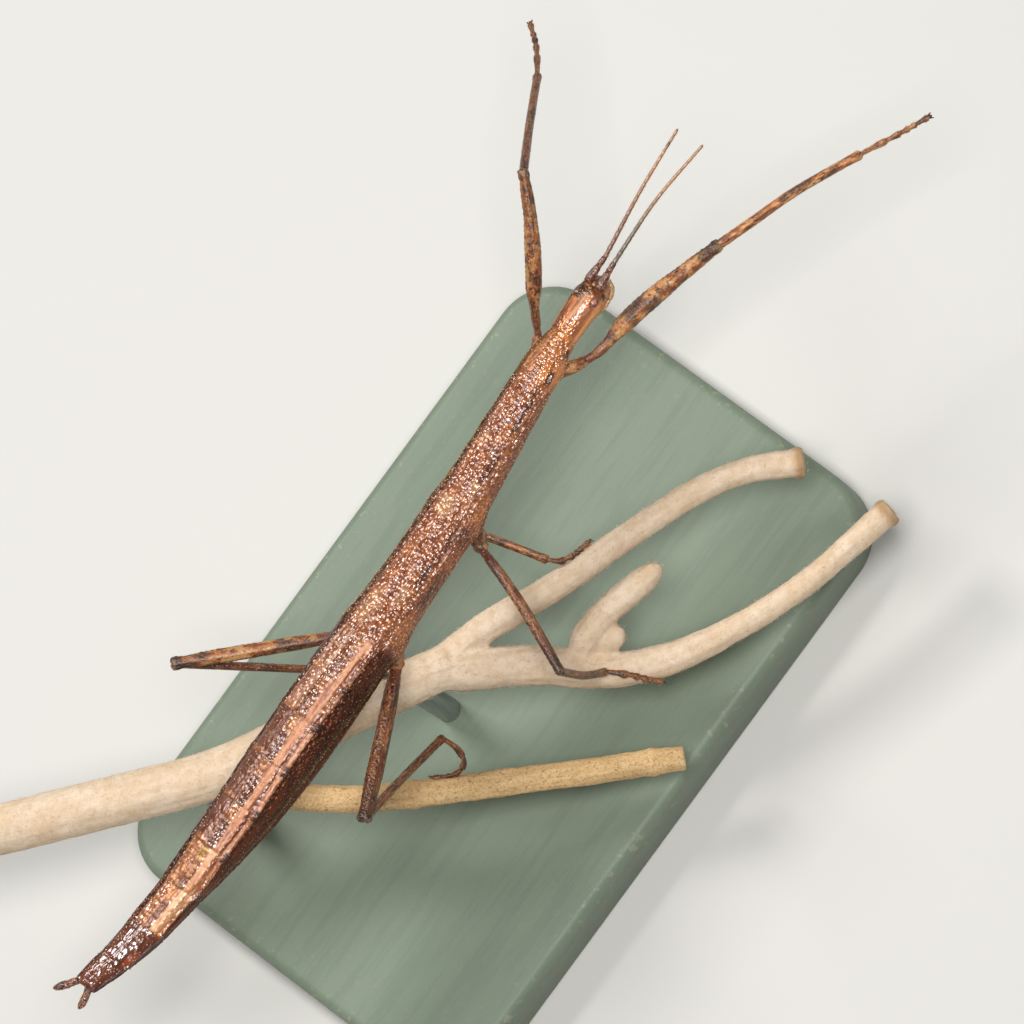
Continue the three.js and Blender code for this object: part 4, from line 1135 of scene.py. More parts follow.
def eye_finish(opt):
    eye = Finish("eye")
    across, fore = eye.mark("across"), eye.mark("fore")
    cloud = eye.noise(4.0, 2.0)
    facets = eye.cells(17).below(0.42, 0.14)
    painted_shade_crescent = abs(fore * fore + (across + 0.35) * (across + 0.35) - 0.42).below(0.2, 0.12)
    colour = eye.paint(
        opt.eye,
        (cloud.above(0.52, 0.1) * 0.5, (206, 150, 128)),
        # A dark crescent on one side of the eye: painted shade.
        (painted_shade_crescent * across.above(-0.25, 0.2) * 0.85, (48, 26, 22)),
        (eye.mark("out").below(0.4, 0.1) * 0.8,
         eye.mix(across.above(0.1, 0.2), (70, 36, 26), (206, 142, 112))),
        # The left eye painted darker than the right: painted shade.
        (eye.mark("shade"), (82, 52, 34)))
    return eye.done(colour, 0.2 + cloud * 0.1, eye.bump(facets, 0.006), Coat_Weight=0.6, Coat_Roughness=0.22)


def mouth_finish(opt):
    mouth = Finish("mouthparts")
    mottle = mouth.noise(4.0, 3.0)
    beads = mouth.cells(5.5).below(0.3, 0.12)
    pale = mouth.mark("pale")
    colour = mouth.paint(
        mouth.mix(pale, opt.orange, (222, 176, 118)),
        (mottle.above(0.54, 0.08) * 0.6, opt.rust),
        (beads * 0.35, (240, 214, 170)))
    normal = mouth.bump(beads, 0.02)
    return mouth.done(colour, 0.3 + mottle * 0.15, normal, Coat_Weight=0.5, **SKIN_FINISH)


class INSECT_OT_face(bpy.types.Operator):
    """Makes the two eyes and the mouthparts below the head"""

    bl_idname = "insect.face"
    bl_label = "Make the face"

    def execute(self, context):
        head = stations(["head"], 1.0)
        for side, name in ((1, "left"), (-1, "right")):
            self.make_eye(context, head, side, name)
        self.make_mouth(context, head)
        return {"FINISHED"}

    def make_eye(self, context, head, side, name):
        y, _, z, _ = along_body(head, np.array([EYE["x"]]))
        centre = (EYE["x"], y[0] + side * EYE["sideways"], z[0] + EYE["lift"])
        out = unit(np.array((0.1, side * 0.76, 0.65)))
        fore = unit(np.cross(out, np.cross((1.0, 0.0, 0.0), out)))
        axes = np.stack((fore, np.cross(out, fore) * side, out))
        rings, spots = ball_rings(centre, axes, (EYE["length"] / 2, EYE["width"] / 2, 0.27), 26, 44)
        eye = Piece(f"eye_{name}_globe", "across", "fore", "out", "shade")
        # The left eye gets a mark for its painted shade.
        eye.add_tube(
            rings, across=spots[..., 1], fore=spots[..., 0], out=spots[..., 2], shade=0.8 * (side > 0))
        eye.finish(eye_finish(context.scene.insect_feelers), "eye", f"eye_{name}")

    def make_mouth(self, context, head):
        mouth = Piece("mouthparts_set", "pale")
        y, _, z, _ = along_body(head, np.array([7.6, 8.6, 9.5, 10.2]))
        under = np.stack(([7.2, 8.5, 9.6, 10.5], y, z - (0.75, 1.1, 1.12, 0.85)), 1)
        shares, ends = domed(0.2, 0.22, 40)
        widths = eased([(0, 1.5), (0.3, 2.2), (0.6, 2.1), (0.85, 1.5), (1, 0.8)], shares) * ends
        depths = eased([(0, 0.9), (0.4, 1.4), (1, 0.9)], shares) * ends
        rings, turn, _ = limb_rings(under, shares, widths, depths, sides=48)
        folds = 0.02 * lumps(rings, 0.4, 5) - 0.05 * hill(np.abs(turn)[None], 178, 7)
        mouth.add_tube(raised(rings, folds), (0.0, 0.3), pale=0.2)
        self.add_rim(mouth, y[-1], z[-1])
        self.add_lip(mouth, y[-1], z[-1])
        for side in (-1, 1):
            self.add_jaw(mouth, side, y[-1], z[-1])
            self.add_palp(mouth, side, y[-2], z[-2], 0)
            self.add_palp(mouth, side, y[-2], z[-2], 1)
        finish = mouth_finish(context.scene.insect_body)
        mouth.finish(finish, "head_cuticle", "mouthparts")

    def add_rim(self, mouth, y, z):
        """The pale beaded rim that runs round the mouth from cheek to cheek."""
        half = [(7.9, 0.98, 1.06), (8.5, 1.06, 1.18), (9.2, 1.0, 1.2), (9.8, 0.78, 1.12), (10.25, 0.4, 0.96)]
        line = [(x, y - side, z - drop) for x, side, drop in half] + [(10.38, y, z - 0.9)]
        line = line + [(x, y + side, z - drop) for x, side, drop in reversed(half)]
        rings, _, shares, ends, long = tapered(line, (0.04, 0.04), 170, EVEN, 0.26, 0.34, sides=20)
        beads = 0.04 * np.abs(np.sin(shares * long * 9.5)) * ends
        mouth.add_tube(raised(rings, beads[:, None] + 0.012 * lumps(rings, 0.2, 8)), (0.3, 0.4), pale=1.0)

    def add_lip(self, mouth, y, z):
        """The upper lip, a flap with a notch in its lower edge."""
        line = [(9.9, y, z - 0.15), (10.25, y, z - 0.5), (10.36, y, z - 1.2)]
        rings, *_ = tapered(line, (0.1, 0.2), 14, EVEN, 0.8, 0.26, (1, 0, 0))
        mouth.add_tube(raised(rings, 0.02 * lumps(rings, 0.3, 6)), (0.4, 0.5), pale=0.5)

    def add_jaw(self, mouth, side, y, z):
        line = [(9.2, y + side * 0.7, z - 1.4), (9.9, y + side * 0.6, z - 1.5),
                (10.4, y + side * 0.2, z - 1.45)]
        rings, *_ = tapered(line, (0.12, 0.12), 20, [(0, 0.5), (0.5, 0.6), (1, 0.3)], 0.8, sides=28)
        start = 0.5 + 0.08 * (side > 0)
        mouth.add_tube(raised(rings, 0.02 * lumps(rings, 0.25, 7)), (start, start + 0.08), pale=0.6)

    def add_palp(self, mouth, side, y, z, inner):
        """A small jointed feeler beside the mouth."""
        reach = 1 - 0.45 * inner
        foot = (8.8 + 0.3 * inner, y + side * (0.62 - 0.35 * inner), z - 1.55 - 0.05 * inner)
        bends = [(0, 0, 0), (0.25, 0.12, -0.34), (0.7, 0.1, -0.5), (1.15, -0.05, -0.42)]
        line = [(foot[0] + reach * a, foot[1] + side * reach * b, foot[2] + reach * c) for a, b, c in bends]
        shares, ends = domed(0.03, 0.08, 44, 5)
        joint = np.abs(np.sin(shares * np.pi * 4)) ** 0.4
        width = eased([(0, 0.2), (0.7, 0.24), (1, 0.17)], shares) * ends * (0.72 + 0.28 * joint)
        rings, _, _ = limb_rings(line, shares, width, width, sides=14)
        start = 0.68 + 0.08 * (side > 0) + 0.16 * inner
        mouth.add_tube(rings, (start, start + 0.07), pale=1.0)


class INSECT_OT_tail(bpy.types.Operator):
    """Makes the two cerci and the boat-shaped plate under the tail"""

    bl_idname = "insect.tail"
    bl_label = "Make the tail"

    def execute(self, context):
        opt = context.scene.insect_body
        finish = tail_finish(opt)
        for number, (name, line) in enumerate(CERCI.items()):
            self.make_cercus(name, line, number, finish)
        self.make_plate(finish)
        return {"FINISHED"}

    def make_cercus(self, name, line, number, finish):
        thick = [(0, 0.5), (0.3, 0.6), (0.75, 0.66), (1, 0.44)]
        rings, turn, shares, _, _ = tapered(line, (0.08, 0.16), 46, thick, deep=0.72)
        high = 0.03 * lumps(rings, 0.24, 21) + 0.05 * hill(turn, 0, 14)[None] + 0.02 * lumps(rings, 0.1, 22)
        rings = raised(rings, high)
        cercus = Piece(f"cercus_{name}_whole", "share", "tone")
        cercus.add_tube(rings, share=shares[:, None])
        random = np.random.default_rng(31 + number)
        places, normals, heading, roots, _ = sown(rings, 1.0, 190, 0.07, random)
        count = len(places)
        sizes = (0.025 + 0.025 * random.random((count, 1))) * np.ones((1, 3))
        frames = standing(normals, heading, np.zeros(count), random)
        cercus.add_copies(dome_solid(5), places, frames, sizes, roots, share=0.6, tone=1.0)
        cercus.finish(finish, "body_cuticle", f"cercus_{name}")

    def make_plate(self, finish):
        plate = stations(["subgenital_plate"], 1.0, 20)
        x = np.linspace(plate[0].min() + 0.05, plate[0].max() - 0.05, 110)
        y, half_width, z, half_depth = (np.interp(x, plate[0], column) for column in plate[1:])
        turn = np.linspace(-np.pi, np.pi, 72, endpoint=False)[None]
        flat = half_depth[:, None] * np.where(np.cos(turn) > 0, np.cos(turn) * 0.8, np.cos(turn))
        across = y[:, None] - np.sin(turn) * half_width[:, None]
        rings = grid(x[:, None], across, z[:, None] + flat)
        flank = np.abs(np.degrees(turn))
        high = 0.035 * lumps(rings * (0.3, 1, 1), 0.4, 23) + 0.05 * hill(flank, 90, 6)
        high = high + 0.08 * hill(flank, 180, 7) + 0.02 * lumps(rings, 0.14, 24)
        boat = Piece("subgenital_plate_shell", "share", "tone")
        boat.add_tube(raised(rings, high), share=0.2)
        boat.finish(finish, "body_cuticle", "subgenital_plate")


def tail_finish(opt):
    tail = Finish("tail plates")
    mottle = tail.noise(3.0, 3.0, stretch=0.5)
    fine = tail.noise(12.0)
    share, tone = tail.mark("share"), tail.mark("tone")
    colour = tail.paint(
        opt.rust,
        (mottle.above(0.5, 0.08) * 0.7, opt.dark),
        (mottle.below(0.42, 0.06) * 0.5, opt.copper),
        (share.below(0.14, 0.05) * 0.7, opt.orange),
        (share.within(0.19, 0.21, 0.004) * mottle.below(0.5, 0.08) * 0.6, opt.olive),
        (tone * 0.8, (214, 168, 120)))
    normal = tail.bump(tail.cells(6).below(0.3, 0.14), 0.03, tail.bump(fine, 0.015))
    return tail.done(colour, 0.24 + mottle * 0.2, normal, Coat_Weight=0.9, **SKIN_FINISH)


# ---- feelers


def feeler_finish(opt):
    feeler = Finish("feeler cuticle")
    share, left, ring = (feeler.mark(mark) for mark in ("share", "left", "ring"))
    mottle = feeler.noise(5.0, 2.0)
    grey = feeler.mix(left, (96, 84, 72), (122, 70, 44))
    colour = feeler.mix(share.above(0.4, 0.3), grey, opt.tan)
    colour = feeler.paint(
        colour,
        (share.below(-0.02, 0.02), (104, 58, 40)),
        (share.below(-0.02, 0.02) * mottle.above(0.52, 0.06) * 0.8, opt.brown),
        (share.below(-0.02, 0.02) * mottle.below(0.42, 0.05) * 0.5, opt.tan),
        (ring * 0.55, opt.brown),
        (share.within(0.86, 0.9, 0.012) * left * 0.9, opt.brown),
        (mottle.above(0.56, 0.05) * 0.4, opt.brown),
        (feeler.mark("bristle"), (226, 202, 150)))
    rough = 0.3 + mottle * 0.15
    normal = feeler.bump(feeler.noise(9.0), 0.03)
    return feeler.done(colour, rough, normal, Coat_Weight=0.5, Coat_Roughness=0.15)


class INSECT_OT_feelers(bpy.types.Operator):
    """Makes the two feelers: base, second joint and ringed whip, with their fine bristles"""

    bl_idname = "insect.feelers"
    bl_label = "Make the feelers"

    def execute(self, context):
        opt = context.scene.insect_feelers
        finish = feeler_finish(opt)
        for number, (name, line) in enumerate(ANTENNAE.items()):
            feeler = Piece(f"feeler_{name}", "share", "left", "ring", "bristle")
            left = float(name == "left")
            self.add_base(feeler, line[:3], left)
            self.add_whip(feeler, opt, line[2:], left, number)
            nodes = [f"antenna_{name}_scape", f"antenna_{name}_whip"]
            feeler.finish(finish, "antenna_cuticle", *nodes)
        return {"FINISHED"}

    def add_base(self, feeler, line, left):
        """The flattened, ridged first joint and the narrower second one."""
        first = (0.0, 0.66, [(0, 0.6), (0.25, 0.68), (0.7, 0.54), (1, 0.42)], (0.0, 0.25))
        second = (0.6, 1.0, [(0, 0.38), (0.35, 0.38), (0.8, 0.38), (1, 0.3)], (0.25, 0.4))
        for start, end, thick, band in (first, second):
            points, _ = curve_through(line, np.linspace(start, end, 4))
            rings, turn, _, ends, _ = tapered(points, (0.12, 0.12), 30, thick, deep=0.68, sides=36)
            flank = np.abs(turn)[None]
            high = 0.05 * hill(flank, 28, 8) + 0.06 * hill(flank, 90, 10) + 0.035 * lumps(rings, 0.13, 41)
            feeler.add_tube(raised(rings, high * ends[:, None]), band, share=-0.1, left=left)

    def add_whip(self, feeler, opt, line, left, number):
        count = opt.rings
        shares = np.linspace(0, 1, count * 7 + 1)
        inside = (shares * count) % 1
        swell = 0.9 + 0.16 * np.sin(inside * np.pi) ** 0.6
        width = (opt.base_width + (opt.tip_width - opt.base_width) * shares) / MM * swell
        width = width * np.sqrt(np.clip((1 - shares) / 0.012, 0.12, 1))
        line = [np.array(line[0]) - (0.12, 0, 0.01)] + [np.array(spot) for spot in line[1:]]
        rings, *_ = limb_rings(line, shares, width, width, sides=14)
        rings = raised(rings, 0.012 * lumps(rings, 0.16, 43))
        ring = hill(np.minimum(inside, 1 - inside), 0, 0.13)
        feeler.add_tube(rings, (0.4, 1.0), share=shares[:, None], left=left, ring=ring[:, None])
        random = np.random.default_rng(51 + number)
        places, normals, heading, roots, _ = sown(rings, 1.0, 420, 0.08, random, (0.4, 1.0))
        tilt = 0.75 + 0.3 * random.random(len(places))
        long = 0.11 + 0.07 * random.random(len(places))
        frames = standing(normals, heading, tilt, random)
        feeler.add_copies(
            hair_solid(), places, frames, slender(0.012, long), roots, left=left, bristle=1.0, share=0.5)


# ---- legs


def leg_finish(opt):
    """Ridged leg cuticle from ochre to russet, with dark bands, specks and rings."""
    leg = Finish("leg cuticle")
    up, side, along = leg.mark("up"), leg.mark("side"), leg.mark("along")
    part, share, dark = leg.mark("part"), leg.mark("share"), leg.mark("dark")
    skin = leg.vector(up * 0.45, side * 0.45, along * 0.5)
    long_skin = leg.vector(up * 0.45, side * 0.45, along * 0.14)
    marble = leg.noise(1.9, 3.0, 0.6, where=skin)
    bands = leg.noise(0.75, 2.0, where=skin, shift=9.0)
    specks = leg.noise(4.6, 2.0, where=skin, shift=4.0)
    streaks = leg.noise(5.0, 2.0, where=long_skin)
    fine = leg.noise(13.0)
    femur, tibia = part.within(0.9, 1.1, 0.05), part.within(1.9, 2.1, 0.05)
    light = leg.mix(marble.below(0.46, 0.05), opt.ochre, (214, 158, 98))
    # A leg part's darkness mixes ochre to russet; on the left fore and hind shins and feet it is partly
    # painted shade.
    colour = leg.mix(dark, light, opt.russet)
    colour = leg.paint(
        colour,
        (marble.above(0.54, 0.04) * 0.7, opt.russet),
        (bands.above(0.55, 0.04) * 0.75, opt.bands),
        (specks.above(0.6, 0.03) * 0.8, opt.bands),
        (streaks.below(0.42, 0.04) * dark * 0.6, (178, 112, 76)),
        (up.below(-0.1, 0.2) * specks.above(0.53, 0.03) * (femur + tibia) * 0.8, opt.bands),
        (femur * share.below(0.15, 0.05) * 0.75, (108, 52, 30)),
        (femur * dark * share.above(0.74, 0.14) * 0.75, opt.bands),
        (femur * share.above(0.94, 0.015) * (0.35 + marble.above(0.5, 0.1) * 0.5), opt.bands),
        (femur * share.above(0.975, 0.008) * specks.above(0.5, 0.05) * 0.5, (150, 124, 96)),
        (tibia * share.below(0.03, 0.01) * 0.4, opt.bands),
        (part.above(3.5, 0.1) * 0.85, opt.bands),
        (leg.mark("bristle") * 0.85, (206, 170, 122)))
    rough = 0.42 - dark * 0.22 + marble * 0.2
    pebble = leg.cells(4.4)
    normal = leg.bump((1 - pebble * pebble * 3.0) * (0.5 + dark * 0.5), 0.03, leg.bump(fine, 0.012))
    return leg.done(colour, rough, normal, Coat_Weight=0.1, Coat_Roughness=0.2, IOR=1.6)


class Leg:
    """One leg in the making, from its coxa to its claws."""

    RIDGES = (0, 24, 70, 112, 148, 180)

    def __init__(self, opt, name, plan, number):
        self.opt, self.name, self.plan = opt, name, plan
        self.upright = (1, 0, 0) if name.startswith("mid") else (0, 0, 1)
        self.fore = name.startswith("fore")
        self.piece = Piece(f"{name}_leg", "up", "side", "along", "part", "share", "dark", "bristle")
        self.random = np.random.default_rng(61 + number)
        self.walked = 20.0 * number  # so that no two legs share a pattern
        self.lines, start = {}, []
        for part in LEG_PARTS:
            self.lines[part] = start + plan[part]
            start = self.lines[part][-1:]

    def add_part(self, line, width, depth, shares, band, part, relief, sides=36):
        line = lengthened(line, width.max() * 0.22)
        rings, turn, length = limb_rings(line, shares, width, depth, self.upright, sides)
        along = shares[:, None] * length
        rings = raised(rings, relief(rings, shares[:, None], np.abs(turn)[None], along))
        angle = np.radians(turn)[None]
        marks = {
            "up": np.cos(angle), "side": np.sin(angle), "along": self.walked + along, "part": float(part),
            "share": shares[:, None], "dark": self.plan["shades"][min(part, 3)]}
        self.piece.add_tube(rings, band, **marks)
        self.grow_bristles(rings, band, length, part, marks)
        self.walked += length
        return rings

    def grow_bristles(self, rings, band, length, part, marks):
        number = int(length * (26 if part < 3 else 34))
        spread = sown(rings, 1.0, number, 0.06, self.random, band)
        places, normals, heading, roots, at = spread
        count = len(places)
        tall = self.opt.bristle / MM * (0.45 + 0.75 * self.random.random(count))
        tilt = 0.55 + 0.5 * self.random.random(count)
        chosen = {mark: np.broadcast_to(value, rings.shape[:2])[at] for mark, value in marks.items()}
        frames = standing(normals, heading, tilt, self.random)
        sizes = slender(0.014, tall)
        self.piece.add_copies(hair_solid(), places, frames, sizes, roots, bristle=1.0, **chosen)

    def add_coxa(self):
        plan = self.plan
        shares, ends = domed(0.14, 0.16, 26)
        width = plan["coxa_width"] * eased([(0, 1.1), (0.5, 1.12), (0.85, 1.0), (1, 0.9)], shares) * ends

        def relief(rings, share, flank, along):
            fold = -0.06 * hill(share, 0.78, 0.035)
            return 0.04 * lumps(rings, 0.5, 71) + 0.02 * lumps(rings, 0.18, 72) + fold

        self.add_part(self.lines["coxa"], width, width, shares, (0.0, 0.15), 0, relief)

    def add_femur(self):
        plan = self.plan
        shares, ends = domed(0.022, 0.014, 130 if self.fore else 90)
        width = eased(plan["widths"], shares) * plan["girth"] * ends

        def relief(rings, share, flank, along):
            tall = self.opt.ridge / MM * step(0.02, 0.12, share) * (0.7 if self.fore else 0.9)
            high = self.ridges(flank, tall) + 0.022 * lumps(rings, 0.3, 73) + 0.01 * lumps(rings, 0.12, 74)
            beads = np.clip(np.sin(along * 13.4), 0, 1) ** 2
            rows = hill(flank, 148, 9) + 0.8 * hill(flank, 70, 7)
            high += 0.05 * beads * rows * step(0.2, 0.4, share)
            knee = hill(share, 0.97, 0.018)
            high = high + 0.06 * knee * hill(flank, 90, 30) - 0.03 * hill(share, 0.93, 0.012)
            high -= step(0.965, 0.99, share) * (0.12 * hill(flank, 180, 24) + 0.08 * hill(flank, 0, 20))
            return high - 0.045 * hill(share, 0.075, 0.01)

        self.add_part(self.lines["femur"], width, width * 0.86, shares, (0.15, 0.45), 1, relief)

    def add_tibia(self):
        plan = self.plan
        shares, ends = domed(0.02, 0.02, 120 if self.fore else 90)
        width = eased([(0, 0.82), (0.06, 1.0), (0.9, 0.92), (1, 1.08)], shares) * plan["tibia_width"] * ends

        def relief(rings, share, flank, along):
            high = self.ridges(flank, self.opt.ridge / MM * 0.7) + 0.016 * lumps(rings, 0.24, 75)
            teeth = np.clip(np.sin(along * 8.0), 0, 1) ** 3 * hill(flank, 148, 10)
            return high + (0.02 if self.fore else 0.06) * teeth * step(0.2, 0.4, share)

        self.add_part(self.lines["tibia"], width, width * 0.94, shares, (0.45, 0.7), 2, relief, 32)

    def ridges(self, flank, tall):
        return tall * (sum(hill(flank, place, 8.0) for place in self.RIDGES) - 0.4)

    def add_foot(self):
        """Five joints with their pads, two claws and the pad between them."""
        line = self.lines["tarsus"]
        ends_at = (0.0, 0.4, 0.58, 0.71, 0.81, 1.0)
        thick = eased([(0, 0.54), (1, 0.46)], np.array(ends_at[:-1]))
        for joint, (start, end) in enumerate(zip(ends_at, ends_at[1:])):
            points, _ = curve_through(line, np.linspace(max(start - 0.01, 0), end, 4))
            shares, ends = domed(0.1, 0.14, 16, 5)
            shape = [(0, 0.62), (0.4, 0.78), (0.8, 1.06), (1, 0.86)]
            width = eased(shape, shares) * thick[joint] * ends

            def relief(rings, share, flank, along):
                pad = 0.09 * hill(share, 0.78, 0.16) * hill(flank, 180, 45)
                return pad + 0.04 * hill(flank, 0, 30) + 0.012 * lumps(rings, 0.16, 76)

            band = (0.7 + 0.04 * joint, 0.74 + 0.04 * joint)
            self.add_part(points, width, width * 0.85, shares, band, 3, relief, 24)
        self.add_claws(line)

    def add_claws(self, line):
        points, _ = curve_through(line, [0.97, 1.0])
        ahead = unit(points[1] - points[0])
        side = unit(np.cross(ahead, self.upright))
        down = np.cross(ahead, side)
        down = down if down @ np.array(self.upright, float) < 0 else -down
        marks = {"part": 4.0, "dark": 0.9, "share": 0.5, "up": 0.5, "side": 0.0, "along": self.walked}
        for number, way in enumerate((-1, 1)):
            bends = [(-0.1, 0.05, 0.0), (0.16, 0.17, -0.03), (0.34, 0.24, 0.03), (0.42, 0.25, 0.16)]
            claw = [points[1] + ahead * a + side * way * b + down * c for a, b, c in bends]
            thick = [(0, 0.16), (0.4, 0.13), (1, 0.035)]
            rings, *_ = tapered(claw, (0.1, 0.04), 16, thick, upright=self.upright, sides=12, steps=4)
            start = 0.9 + 0.03 * number
            self.piece.add_tube(rings, (start, start + 0.03), **marks)
        pad_at = points[1] + ahead * 0.14 + down * 0.04
        rings, _ = ball_rings(pad_at, (side, down, ahead), (0.15, 0.1, 0.2), 8, 16)
        marks["part"] = 3.0
        self.piece.add_tube(rings, (0.96, 1.0), **marks)

    def add_spurs(self):
        """Small spurs under the end of the shin."""
        points, _ = curve_through(self.lines["tibia"], [0.93, 0.97])
        ahead = unit(points[1] - points[0])
        side = unit(np.cross(ahead, self.upright))
        under = -np.cross(side, ahead)
        marks = {"part": 4.0, "dark": 0.9, "share": 0.9, "up": -0.5, "side": 0.0, "along": self.walked}
        for way in (-1, 1):
            foot = points[1] + under * 0.22 + side * way * 0.14
            spur = [foot - under * 0.1, foot + ahead * 0.1 + under * 0.06, foot + ahead * 0.26 + under * 0.12]
            thick = [(0, 0.13), (1, 0.03)]
            rings, *_ = tapered(spur, (0.1, 0.05), 10, thick, upright=self.upright, sides=10, steps=4)
            self.piece.add_tube(rings, (0.7, 0.71), **marks)


class INSECT_OT_legs(bpy.types.Operator):
    """Makes the six legs, each as one piece from its coxa to its claws"""

    bl_idname = "insect.legs"
    bl_label = "Make the legs"

    def execute(self, context):
        opt = context.scene.insect_legs
        finish = leg_finish(opt)
        for number, (name, plan) in enumerate(LEGS.items()):
            leg = Leg(opt, name, plan, number)
            leg.add_coxa()
            leg.add_femur()
            leg.add_tibia()
            leg.add_spurs()
            leg.add_foot()
            leg.piece.finish(finish, "leg_cuticle", *(f"{name}_{part}" for part in LEG_PARTS))
        return {"FINISHED"}


# ---- the twig


FELTED = ("main", "upper", "lower", "bud", "button")
STEM_SHIFT = 57.0
# Where a leaf's scar rings a stem, as a share of the stem's length.
SCARS = {"upper": 0.985, "lower": 0.985}


def stem_course(name, gap=0.2):
    """Centres, tangents, shares and radii along one stem."""
    line, radii = STEMS[name]
    _, length = curve_through(line, [0.0, 1.0])
    shares = np.linspace(0, 1, max(int(length / gap), 8))
    centres, _ = curve_through(line, shares)
    return centres, unit(np.gradient(centres, axis=0)), shares, eased(radii, shares), length


def stem_rings(name, sides):
    *_, shares, radii, length = stem_course(name)
    soft = 1 - 0.35 * hill(np.minimum(shares, 1 - shares) * length, 0, 0.14)
    if name in ("bud", "button"):
        soft = np.sqrt(np.clip((1 - shares) * length / (radii[-1] * 0.9), 0.02, 1))
    if name != "main":
        soft = soft * np.sqrt(np.clip(shares * length / (radii[0] * 1.4), 0.02, 1))
    line, _ = STEMS[name]
    width = 2 * radii * soft
    rings, _, _ = limb_rings(line, shares, width, width, sides=sides)
    return rings


def joined_stems(voxel):
    """The felted stems as one closed mesh with rounded forks; its corners are in millimetres."""
    rough = Piece("rough_stems")
    for name in FELTED:
        rough.add_tube(stem_rings(name, 48))
    block = rough.finish(bpy.data.materials.new("rough"), "felted_bark")
    joining = block.modifiers.new("Join", "REMESH")
    joining.mode = "VOXEL"
    joining.voxel_size = voxel
    smoothing = block.modifiers.new("Round", "SMOOTH")
    smoothing.factor = 0.5
    smoothing.iterations = 30
    solved = block.evaluated_get(bpy.context.evaluated_depsgraph_get())
    mesh = bpy.data.meshes.new_from_object(solved)
    rough_mesh = block.data
    bpy.data.objects.remove(block)
    bpy.data.meshes.remove(rough_mesh)
    return mesh


class TwigPlaces:
    """Where each corner lies along and round the nearest stem."""

    def __init__(self):
        courses = [stem_course(name, 0.12) for name in FELTED]
        self.centres = np.vstack([course[0] for course in courses])
        self.tangents = np.vstack([course[1] for course in courses])
        self.shares = np.concatenate([course[2] for course in courses])
        self.radii = np.concatenate([course[3] for course in courses])
        self.along = np.concatenate([course[2] * course[4] for course in courses])
        self.stem = np.concatenate([np.full(len(course[2]), k) for k, course in enumerate(courses)])
        self.tree = KDTree(len(self.centres))
        for number, centre in enumerate(self.centres):
            self.tree.insert(centre, number)
        self.tree.balance()

    def nearest(self, spots):
        return np.array([self.tree.find(spot)[1] for spot in spots])

    def around(self, spots, near):
        """Places round and along the nearest stem, shifted so that no two stems share a pattern."""
        away = spots - self.centres[near]
        side = unit(np.cross(self.tangents[near], (0.0, 0.0, 1.0)))
        top = np.cross(side, self.tangents[near])
        angle = np.arctan2(np.sum(away * side, 1), np.sum(away * top, 1))
        round_way = np.stack((np.cos(angle), np.sin(angle)), 1) * self.radii[near, None]
        return round_way, self.along[near] + STEM_SHIFT * self.stem[near]


def felt_finish(opt):
    felt = Finish("felted bark")
    across, updown, along = felt.mark("across"), felt.mark("updown"), felt.mark("along")
    course = felt.vector(across, updown, along * 0.16)
    streaks = felt.noise(2.2, 4.0, 0.6, where=course)
    cloud = felt.noise(0.35, 3.0)
    specks = felt.noise(3.4, 2.0, shift=5.0)
    nap = felt.noise(9.0, 3.0, 0.65)
    cut, scar = felt.mark("cut"), felt.mark("scar")
    colour = felt.paint(
        opt.felt,
        (cloud.above(0.5, 0.16) * 0.5, (240, 222, 200)),
        (felt.noise(1.3, 3).above(0.53, 0.08) * 0.35, (202, 172, 134)),
        (streaks.above(0.55, 0.08) * 0.3, (206, 174, 134)),
        (specks.above(0.67, 0.03) * 0.35, opt.speck),
        (nap.above(0.6, 0.08) * 0.25, (246, 232, 212)),
        (scar * 0.8, opt.speck),
        (cut * 0.75, (204, 176, 128)))
    height = nap * 0.6 + streaks * 0.4
    return felt.done(colour, 0.86 + nap * 0.1, felt.bump(height, 0.09), Specular_IOR_Level=0.2)


def fibre_finish(opt):
    fibre = Finish("felt fibres")
    tone = fibre.mark("tone")
    colour = fibre.mix(tone, (206, 178, 146), (244, 230, 208))
    colour = fibre.mix(fibre.noise(1.2).above(0.56, 0.08) * 0.4, colour, opt.felt)
    return fibre.done(colour, 0.8 + tone * 0.1, Specular_IOR_Level=0.25)


def bark_finish(opt):
    bark = Finish("brown bark")
    course = bark.vector(bark.mark("across"), bark.mark("updown"), bark.mark("along") * 0.14)
    streaks = bark.noise(2.6, 4.0, 0.65, where=course)
    cloud = bark.noise(0.4, 3.0)
    specks = bark.noise(3.6, 2.0, shift=2.0)
    cut = bark.mark("cut")
    colour = bark.paint(
        opt.bark,
        (cloud.above(0.52, 0.14) * 0.4, (176, 138, 90)),
        (streaks.above(0.56, 0.08) * 0.35, (232, 204, 160)),
        (bark.noise(6, 2).above(0.56, 0.05) * 0.45, (158, 120, 76)),
        (specks.above(0.63, 0.03) * 0.5, (120, 86, 52)),
        (cut * 0.8, (196, 170, 128)))
    return bark.done(colour, 0.72 + streaks * 0.2, bark.bump(streaks, 0.12), Specular_IOR_Level=0.3)


